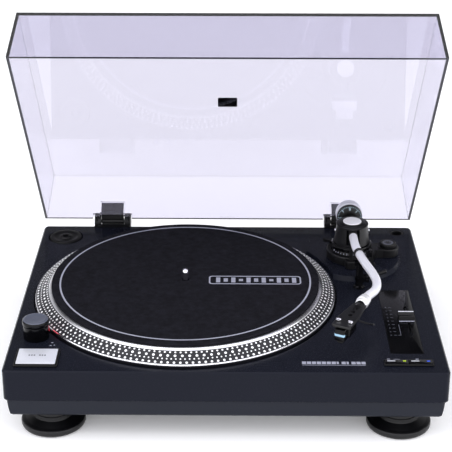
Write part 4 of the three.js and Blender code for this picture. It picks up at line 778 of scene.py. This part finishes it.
def make_arm_base():
    """The arm's base and pillar, its lock, its height collar and the anti-skate dial."""
    finished("arm_base", matt_plastic, edge=0.3)
    pillar = turned("arm_pillar_ground", [(6, -10), (13.6, -10), (14, -9.6), (14, 24.5), (6, 24.5)], 64,
                    ring=True)
    on_deck(pillar, PIVOT)
    paint(pillar, steel)
    stands_for(pillar, "arm_pillar")
    finished("arm_lock_lever", gloss_plastic, edge=0.3)
    make_height_ring()
    dial = middle("antiskate_dial")
    knob = knurled("antiskate_knob", 9.6, 9.1, 16.3, 20.9, 36, 7.2)
    shaft = turned("antiskate_shaft", [(2.6, 11.5), (2.9, 11.8), (2.9, 17.3), (2.6, 17.4)], 32)
    whole = merged("antiskate_moulded", [knob, shaft])
    on_deck(whole, dial)
    paint(whole, matt_plastic)
    stands_for(whole, "antiskate_dial")
    ring = turned("antiskate_ring_print", [(4.2, 20.42), (6.2, 20.42), (6.2, 20.5), (4.2, 20.5)], 64,
                  ring=True)
    ticks = [block("antiskate_tick", (2.0, -0.25, 20.42), (4.2, 0.25, 20.5), 0)]
    for i in range(1, 8):
        tick = block("antiskate_tick", (2.0, -0.25, 20.42), (4.2, 0.25, 20.5), 0)
        tick.data.transform(Matrix.Rotation(i * math.pi / 4, 4, "Z"))
        ticks.append(tick)
    print_ring = merged("antiskate_print", [ring, *ticks])
    on_deck(print_ring, dial)
    printed(print_ring, print_dark, "antiskate_dial")


def knurled(name, outer, inner, bottom, top, teeth, dish):
    """A knob with upright grooves round its side and a dished top."""
    knob = turned(name, [(outer - 0.6, bottom), (outer, bottom + 0.5), (outer, top - 0.9), (outer - 0.9, top),
                         (dish + 0.5, top), (dish, top - 0.5), (0.1, top - 0.5)], 2 * teeth)
    edit(knob)
    bpy.ops.mesh.select_mode(type="FACE")
    bpy.ops.mesh.select_all(action="DESELECT")
    leave()
    for face in knob.data.polygons:
        centre, normal = face.center / MM, face.normal
        turn = math.atan2(centre.y, centre.x) % (2 * math.pi)
        tooth = int(turn / (math.pi / teeth))
        face.select = abs(normal.z) < 0.2 and math.hypot(centre.x, centre.y) > inner - 0.5 and tooth % 2 == 0
    bpy.ops.object.mode_set(mode="EDIT")
    bpy.ops.mesh.inset(thickness=0.12 * MM, depth=-(outer - inner) * MM, use_individual=True)
    leave()
    return smooth(knob)


def make_height_ring():
    """The height collar: a printed skirt under a grip with deep upright ribs."""
    grip = knurled("height_grip", 23, 21.9, 19.9, 24.5, 40, 16.4)
    bore = turned("bore", [(14.3, 10), (14.3, 30)], 64)
    carve(grip, bore)
    skirt = turned("height_skirt", [(14.3, 16.3), (23.4, 16.3), (23.6, 16.6), (22.7, 19.9), (22.2, 20.1),
                                    (14.3, 20.1)], RINGS, ring=True)
    whole = merged("height_ring_moulded", [skirt, grip])
    on_deck(whole, PIVOT)
    paint(whole, gloss_plastic)
    stands_for(whole, "height_ring")
    marks = []
    for i in range(15):
        mark = block("height_mark", (-0.25, -23.75, 17.2), (0.25, -22.9, 18.8 if i % 5 else 19.4), 0)
        mark.data.transform(Matrix.Rotation(math.radians(-62 + i * 9), 4, "Z"))
        marks.append(mark)
    scale = merged("height_scale_print", marks)
    on_deck(scale, PIVOT)
    printed(scale, print_grey, "height_ring")


def make_housing():
    """The bearing housing: a tapered drum with a rim and an eight-sided cap, open front and back."""
    drum = turned("arm_housing_cast", [
        (19.6, 25), (20.3, 25.6), (17.9, 46.6), (18.4, 46.8), (18.6, 47.2), (18.6, 48), (17.4, 48.8),
        (16, 48.9)])
    bpy.ops.object.select_all(action="DESELECT")
    bpy.ops.mesh.primitive_cone_add(vertices=8, radius1=17.8 * MM, radius2=13.1 * MM, depth=1.6 * MM,
                                    location=(0, 0, 49.2 * MM))
    cap = named("eight_sided_cap")
    bpy.ops.object.transform_apply(location=True)
    cap.data.transform(Matrix.Rotation(math.pi / 8, 4, "Z"))
    slot = block("arm_slot", (-7.5, -30, 28), (7.5, 30, 46.2), 0)
    carve(drum, slot)
    pin_hole = turned("pin_hole", [(1.6, -30), (1.6, 30)], 24)
    place(pin_hole, 0, 0, ARM_HEIGHT, Matrix.Rotation(math.pi / 2, 4, "Y"))
    carve(drum, pin_hole)
    seat = turned("seat", [(10.8, 49.2), (10.8, 52)], 64)
    only(cap)
    round_edges(cap, 0.25, 2)
    carve(cap, seat)
    whole = merged("arm_housing_cast", [drum, cap])
    on_deck(whole, PIVOT)
    paint(whole, cast_black)
    stands_for(whole, "arm_housing")
    disc = turned("pivot_disc", [(10.2, 49.5), (10.5, 49.8), (10.5, 50.5), (10.1, 50.9), (9.6, 51), (3, 51)])
    on_deck(disc, PIVOT)
    paint(disc, cap_metal)
    stands_for(disc, "pivot_cap")
    for side in (-1, 1):
        screw = turned("side_screw", [(1.4, 0), (2.1, 0.1), (2.1, 0.8), (1.8, 1.1), (0.5, 1.2)], 32)
        place(screw, AXIS.x + side * 19.0, AXIS.y, AXIS.z, Matrix.Rotation(side * math.pi / 2, 4, "Y"))
        screw.name = "pivot_screw_right" if side > 0 else "pivot_screw_left"
        printed(screw, chrome, "arm_housing")


def tube_points():
    """The tube's centre line, front to back as offsets from the pivot, to the collar."""
    offsets = [(0, -4), (0, -24), (0.6, -44), (3.6, -66), (8.6, -91), (14.2, -116), (15.9, -136),
               (12.2, -153)]
    collar = collar_origin()
    along = Vector((math.sin(OFFSET), math.cos(OFFSET), 0))
    points = [AXIS + Vector((x, y, 0)) for x, y in offsets]
    return [*points, collar + 9 * along, collar, collar - 1.5 * along]


def collar_origin():
    """Where the tube ends in the collar, on its axis."""
    low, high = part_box("locking_collar")
    mid = (low + high) / (2 * MM)
    half = (12.6 - 2) / 2
    return Vector((mid.x + half * math.sin(OFFSET), mid.y + half * math.cos(OFFSET), AXIS.z))


def along_curve(name, points, radius, sides=4, cyclic=False):
    """A round rod along smooth points, as a closed mesh."""
    line = bpy.data.curves.new(name, "CURVE")
    line.dimensions = "3D"
    line.bevel_depth = radius * MM
    line.bevel_resolution = sides
    line.resolution_u = 8
    line.use_fill_caps = True
    spline = line.splines.new("BEZIER")
    spline.bezier_points.add(len(points) - 1)
    for knot, point in zip(spline.bezier_points, points):
        knot.co = point * MM
        knot.handle_left_type = knot.handle_right_type = "AUTO"
    piece = bpy.data.objects.new(name, line)
    bpy.context.scene.collection.objects.link(piece)
    only(piece)
    bpy.ops.object.convert(target="MESH")
    piece = bpy.context.active_object
    edit(piece)
    bpy.ops.mesh.remove_doubles(threshold=1e-6)
    bpy.ops.mesh.normals_make_consistent(inside=False)
    leave()
    return smooth(piece, 50)


def make_tube():
    """The S-shaped tube, its pivot block and its rear stub."""
    tube = along_curve("arm_tube_bent", tube_points(), TUBE_RADIUS, 8)
    half = Vector((6.5, 10, 5.5))
    mount = block("pivot_block", AXIS - half, AXIS + half, 0.8, corner=2)
    neck = turned("tube_neck", [(5.5, 0), (5.8, 0.3), (5.8, 4.4), (5.1, 4.8), (5.1, 6.2), (5.2, 6.6),
                                (5.4, 7), (5.4, 8.6), (5.2, 9.2), (4.9, 9.4)], 48)
    place(neck, AXIS.x, AXIS.y - 9, AXIS.z, Matrix.Rotation(math.pi / 2, 4, "X"))
    stub = turned("rear_stub", [(4.6, 0), (4.6, 66.6), (4.2, 67)], 48)
    place(stub, AXIS.x, AXIS.y + 5, AXIS.z, Matrix.Rotation(-math.pi / 2, 4, "X"))
    pin = turned("cross_pin", [(1.1, -15), (1.1, 15)], 24)
    place(pin, *AXIS, Matrix.Rotation(math.pi / 2, 4, "Y"))
    paint(tube, tube_metal, matt_plastic)
    whole = merged("arm_tube_bent", [tube, mount, neck, stub, pin])
    paint_faces(whole, 1, lambda c, n: c.y > PIVOT.y - 18.5)
    stands_for(whole, "arm_tube")
    finished("tube_sleeve", soft_rubber, edge=0.15)


def on_arm(piece):
    """Moves a piece drawn forwards along -y from the collar's origin to its place on the arm."""
    origin = collar_origin()
    return place(piece, origin.x, origin.y, origin.z, Matrix.Rotation(-OFFSET, 4, "Z"))


def make_collar():
    """The headshell's locking collar, with a raised grip ring."""
    profile = [(5.05, 2), (5.6, 2), (6.2, 1.6), (6.2, -3.2), (6.8, -3.9), (6.8, -7.5), (6.2, -8.1),
               (6.2, -11.4), (5.6, -12.4), (5.05, -12.6)]
    collar = turned("collar_chromed", profile[::-1], 64, ring=True)
    collar.data.transform(Matrix.Rotation(-math.pi / 2, 4, "X"))
    on_arm(collar)
    paint(collar, satin_chrome)
    stands_for(collar, "locking_collar")


def make_headshell():
    """The headshell with its screws, finger lift, cartridge and stylus."""
    finished("headshell", cast_black, edge=0.3)
    for side in ("left", "right"):
        finished("cartridge_screw_" + side, chrome, edge=0.25)
    finished("finger_lift", cast_black)
    make_cartridge()
    finished("stylus", gloss_plastic, edge=0.3)


def make_cartridge():
    """A wide body under the headshell, and a narrower nose in front with a pale band across it."""
    wide = block("cartridge_body", (-8.25, -62, -12.5), (8.25, -43.1, -1.3), 0.6, corner=1.2)
    nose = block("cartridge_nose", (-5.4, -70.0, -14.6), (5.4, -58, -1.9), 0.9, corner=1.6)
    keel = block("cartridge_keel", (-4.4, -66, -15.7), (4.4, -48, -11.5), 0.6, corner=1.0)
    body = on_arm(merged("cartridge_moulded", [wide, nose, keel]))
    paint(body, gloss_plastic)
    stands_for(body, "cartridge")
    band = on_arm(block("cartridge_band", (-5.55, -70.15, -9.2), (5.55, -66.5, -6.6), 0.3, corner=1.6))
    printed(band, pale_band, "cartridge")
    pins = []
    for x in (-4.8, -1.6, 1.6, 4.8):
        pin = turned("pin", [(0.4, 0), (0.6, 0.2), (0.6, 4.8), (0.4, 5)], 12)
        pins.append(place(pin, x, -43.3, -7, Matrix.Rotation(-math.pi / 2, 4, "X")))
    pins = on_arm(merged("cartridge_pins", pins))
    printed(pins, brass, "cartridge")


def make_counterweight():
    """The stepped counterweight, and the force dial in front of it."""
    profile = [(4.9, 40.5), (15.3, 40.5), (15.5, 40.7), (15.6, 41.1), (15.6, 51.2), (15.4, 51.9),
               (14.8, 52.4), (11.3, 52.6), (10.7, 53.2), (10.7, 61.6), (10.4, 62.2), (9.7, 62.5), (4.9, 62.5)]
    weight = turned("counterweight_turned", profile, RINGS, ring=True)
    upright_to_arm = Matrix.Rotation(-math.pi / 2, 4, "X")
    place(weight, *AXIS, upright_to_arm)
    paint(weight, weight_metal)
    stands_for(weight, "counterweight")
    dial = turned("force_dial_moulded", [
        (4.9, 34), (8.2, 34), (8.7, 34.2), (14.3, 35.6), (14.8, 36.1), (14.8, 39.8), (14.5, 40), (4.9, 40)],
        ring=True)
    place(dial, *AXIS, upright_to_arm)
    paint(dial, matt_plastic)
    stands_for(dial, "force_dial")
    make_dial_marks()


def make_dial_marks():
    """Numbers and ticks round the dial's front face."""
    marks = []
    for i in range(40):
        if i % 5:
            tick = block("dial_tick", (-0.25, 1.4, -0.08), (0.25, 2.4, 0.08), 0)
            marks.append(dial_face(tick, i * math.pi / 20))
    for i, digit in enumerate("01234567"):
        number = lettered(digit, 4.6, -1.3, -2.2, 0)
        line = block("dial_line", (-0.3, 1.2, -0.08), (0.3, 2.5, 0.08), 0)
        marks += [dial_face(number, i * math.pi / 4), dial_face(line, i * math.pi / 4)]
    scale = merged("dial_print", marks)
    place(scale, *AXIS)
    printed(scale, print_pale, "force_dial")


def dial_face(mark, turn):
    """Stands a flat mark on the dial's front cone, turned round the arm's axis."""
    lean = math.atan2(35.6 - 34.2, 14.3 - 8.7)
    upright = Matrix.Rotation(math.pi / 2 - lean, 4, "X")
    out = Matrix.Translation((0, 34.75 * MM, 11.6 * MM))
    mark.data.transform(Matrix.Rotation(turn, 4, "Y") @ out @ upright)
    return mark


def make_arm_fittings():
    """The arm's rest and clip, and the cueing lever with its lift."""
    for node, material, edge in (("arm_rest", gloss_plastic, 0.2), ("arm_clip", matt_plastic, 0.25),
                                 ("cue_lever", matt_plastic, 0.2), ("cue_lift", matt_plastic, 0.3)):
        finished(node, material, edge=edge)


# ---------------------------------------------------------------- dust cover and hinges

TILT = math.radians(52.2)                          # how far the cover stands open
RIM_WARD = Vector((0, -math.sin(TILT), -math.cos(TILT)))   # from the cover's top to its rim


def make_cover():
    """The one-piece acrylic cover; the faces of its rim are dark."""
    cover = copy_of("dust_cover", "dust_cover_acrylic", edge=0.5)
    paint(cover, acrylic, acrylic_edge)
    corner = rim_point()
    paint_faces(cover, 1, lambda c, n: n.dot(RIM_WARD) > 0.9 and abs((c - corner).dot(RIM_WARD)) < 1.2)
    stands_for(cover, "dust_cover")
    for side in ("left", "right"):
        finished("hinge_bracket_" + side, matt_plastic, edge=0.35)
        finished("hinge_leaf_" + side, matt_plastic, edge=0.3)
    finished("cover_badge", gloss_plastic, edge=0.2)


def rim_point():
    """The corner of the cover that lies furthest towards its rim."""
    mesh = NODES["dust_cover"].data
    return max((v.co for v in mesh.vertices), key=lambda co: co.dot(RIM_WARD)) / MM


# ---------------------------------------------------------------- rear panel and inner parts

def make_rear():
    """The jacks on their chromed plate with a coloured ring round each, the ground post and the inlet."""
    plate = finished("audio_jack_plate", matt_plastic, chrome, edge=0.2)
    low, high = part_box("audio_jack_plate")
    at = middle("audio_jack_plate")
    seat = high.y / MM - 7.8                       # where the rings start, 0.3 under the plate's face
    paint_faces(plate, 1, lambda c, n: c.y > seat + 0.1)
    for side, material in ((-8, print_white), (8, red_insulator)):
        ring = turned("jack_insulator", [(4.15, 0), (5.6, 0), (5.6, 0.8), (4.15, 0.8)], 48, ring=True)
        place(ring, at.x + side, seat, low.z / MM + 9, Matrix.Rotation(-math.pi / 2, 4, "X"))
        ring.name = "jack_ring_white" if side < 0 else "jack_ring_red"
        printed(ring, material, "audio_jack_plate")
    finished("ground_post", chrome, edge=0.2)
    finished("power_inlet", gloss_plastic, edge=0.3)


def finish_inner_parts():
    """Parts that only show when the player is opened keep their CAD shape."""
    for node, material in (("bearing_housing", brass), ("motor_can", steel), ("motor_pulley", brass),
                           ("drive_belt", soft_rubber), ("circuit_board", circuit), ("pitch_fader", steel)):
        paint(NODES[node], material)


# ---------------------------------------------------------------- stage, light and camera

def make_stage():
    """A plain pale floor, the studio's light and two softboxes."""
    bpy.ops.object.select_all(action="DESELECT")
    bpy.ops.mesh.primitive_plane_add(size=12)
    floor = named("studio_floor")
    material, _, shader = surface("plain pale floor", "fafafa", 0.9, Emission_Strength=0.12)
    shader.inputs["Emission Color"].default_value = linear("ffffff")
    paint(floor, material)
    make_studio_light()
    add_light("key_softbox", (-1.2, -1.0, 2.2), 1.2, 9)
    add_light("side_softbox", (1.6, 0.0, 1.2), 1.0, 5)


def make_studio_light():
    """Soft white light from above and from the front, a pale sweep low down all round, and a dark room above
    the sweep on the player's far side."""
    world = bpy.data.worlds.new("studio")
    bpy.context.scene.world = world
    world.use_nodes = True
    tree = world.node_tree
    background = tree.nodes["Background"]
    background.inputs["Color"].default_value = linear("fafaff")
    where = put(tree, "TexCoord")
    side = put(tree, "VectorMath", {0: (where, "Generated"), 1: (-0.1, -1.5, 1)}, operation="DOT_PRODUCT")
    power = put(tree, "MapRange", {"Value": (side, "Value"), "From Min": -0.1, "From Max": 0.6,
                                   "To Min": 0.04, "To Max": 1.62}, interpolation_type="SMOOTHSTEP")
    parts = put(tree, "SeparateXYZ", {"Vector": (where, "Generated")})
    sweep = put(tree, "MapRange", {"Value": (parts, "Z"), "From Min": 0.52, "From Max": 0.38, "To Min": 0.0,
                                   "To Max": 0.5}, interpolation_type="SMOOTHSTEP")
    total = put(tree, "Math", {0: (power, "Result"), 1: (sweep, "Result")}, operation="ADD")
    tree.links.new(total.outputs["Value"], background.inputs["Strength"])


def add_light(name, place_m, width, power):
    """A square softbox aimed at the player; its place and width are in metres."""
    lamp = bpy.data.lights.new(name, "AREA")
    lamp.size = width
    lamp.energy = power
    holder = bpy.data.objects.new(name, lamp)
    bpy.context.scene.collection.objects.link(holder)
    holder.location = place_m
    holder.rotation_euler = (Vector((0, 0, 0.1)) - Vector(place_m)).to_track_quat("-Z", "Y").to_euler()


def make_camera():
    """A long lens, 1.6 m in front of the player and looking down on it by 23 degrees."""
    camera = bpy.data.cameras.new("camera")
    camera.lens = 110.13
    camera.sensor_width = 36
    camera.shift_x = 0.0166
    camera.shift_y = -0.0672
    camera.clip_end = 50
    holder = bpy.data.objects.new("camera", camera)
    bpy.context.scene.collection.objects.link(holder)
    holder.location = (0.00543, -1.39766, 0.7881)
    holder.rotation_euler = (math.radians(90 - 23.19), 0, math.radians(0.606))
    bpy.context.scene.camera = holder


make_camera()
make_stage()
make_plinth()
make_platter()
make_mat()
make_spindle()
make_adapter()
make_socket()
make_strobe()
make_start_key()
make_speed_keys()
make_pitch()
make_deck_prints()
make_blanks()
make_arm_base()
make_housing()
make_tube()
make_collar()
make_headshell()
make_counterweight()
make_arm_fittings()
make_cover()
make_rear()
finish_inner_parts()
bpy.context.scene.view_settings.view_transform = "Standard"
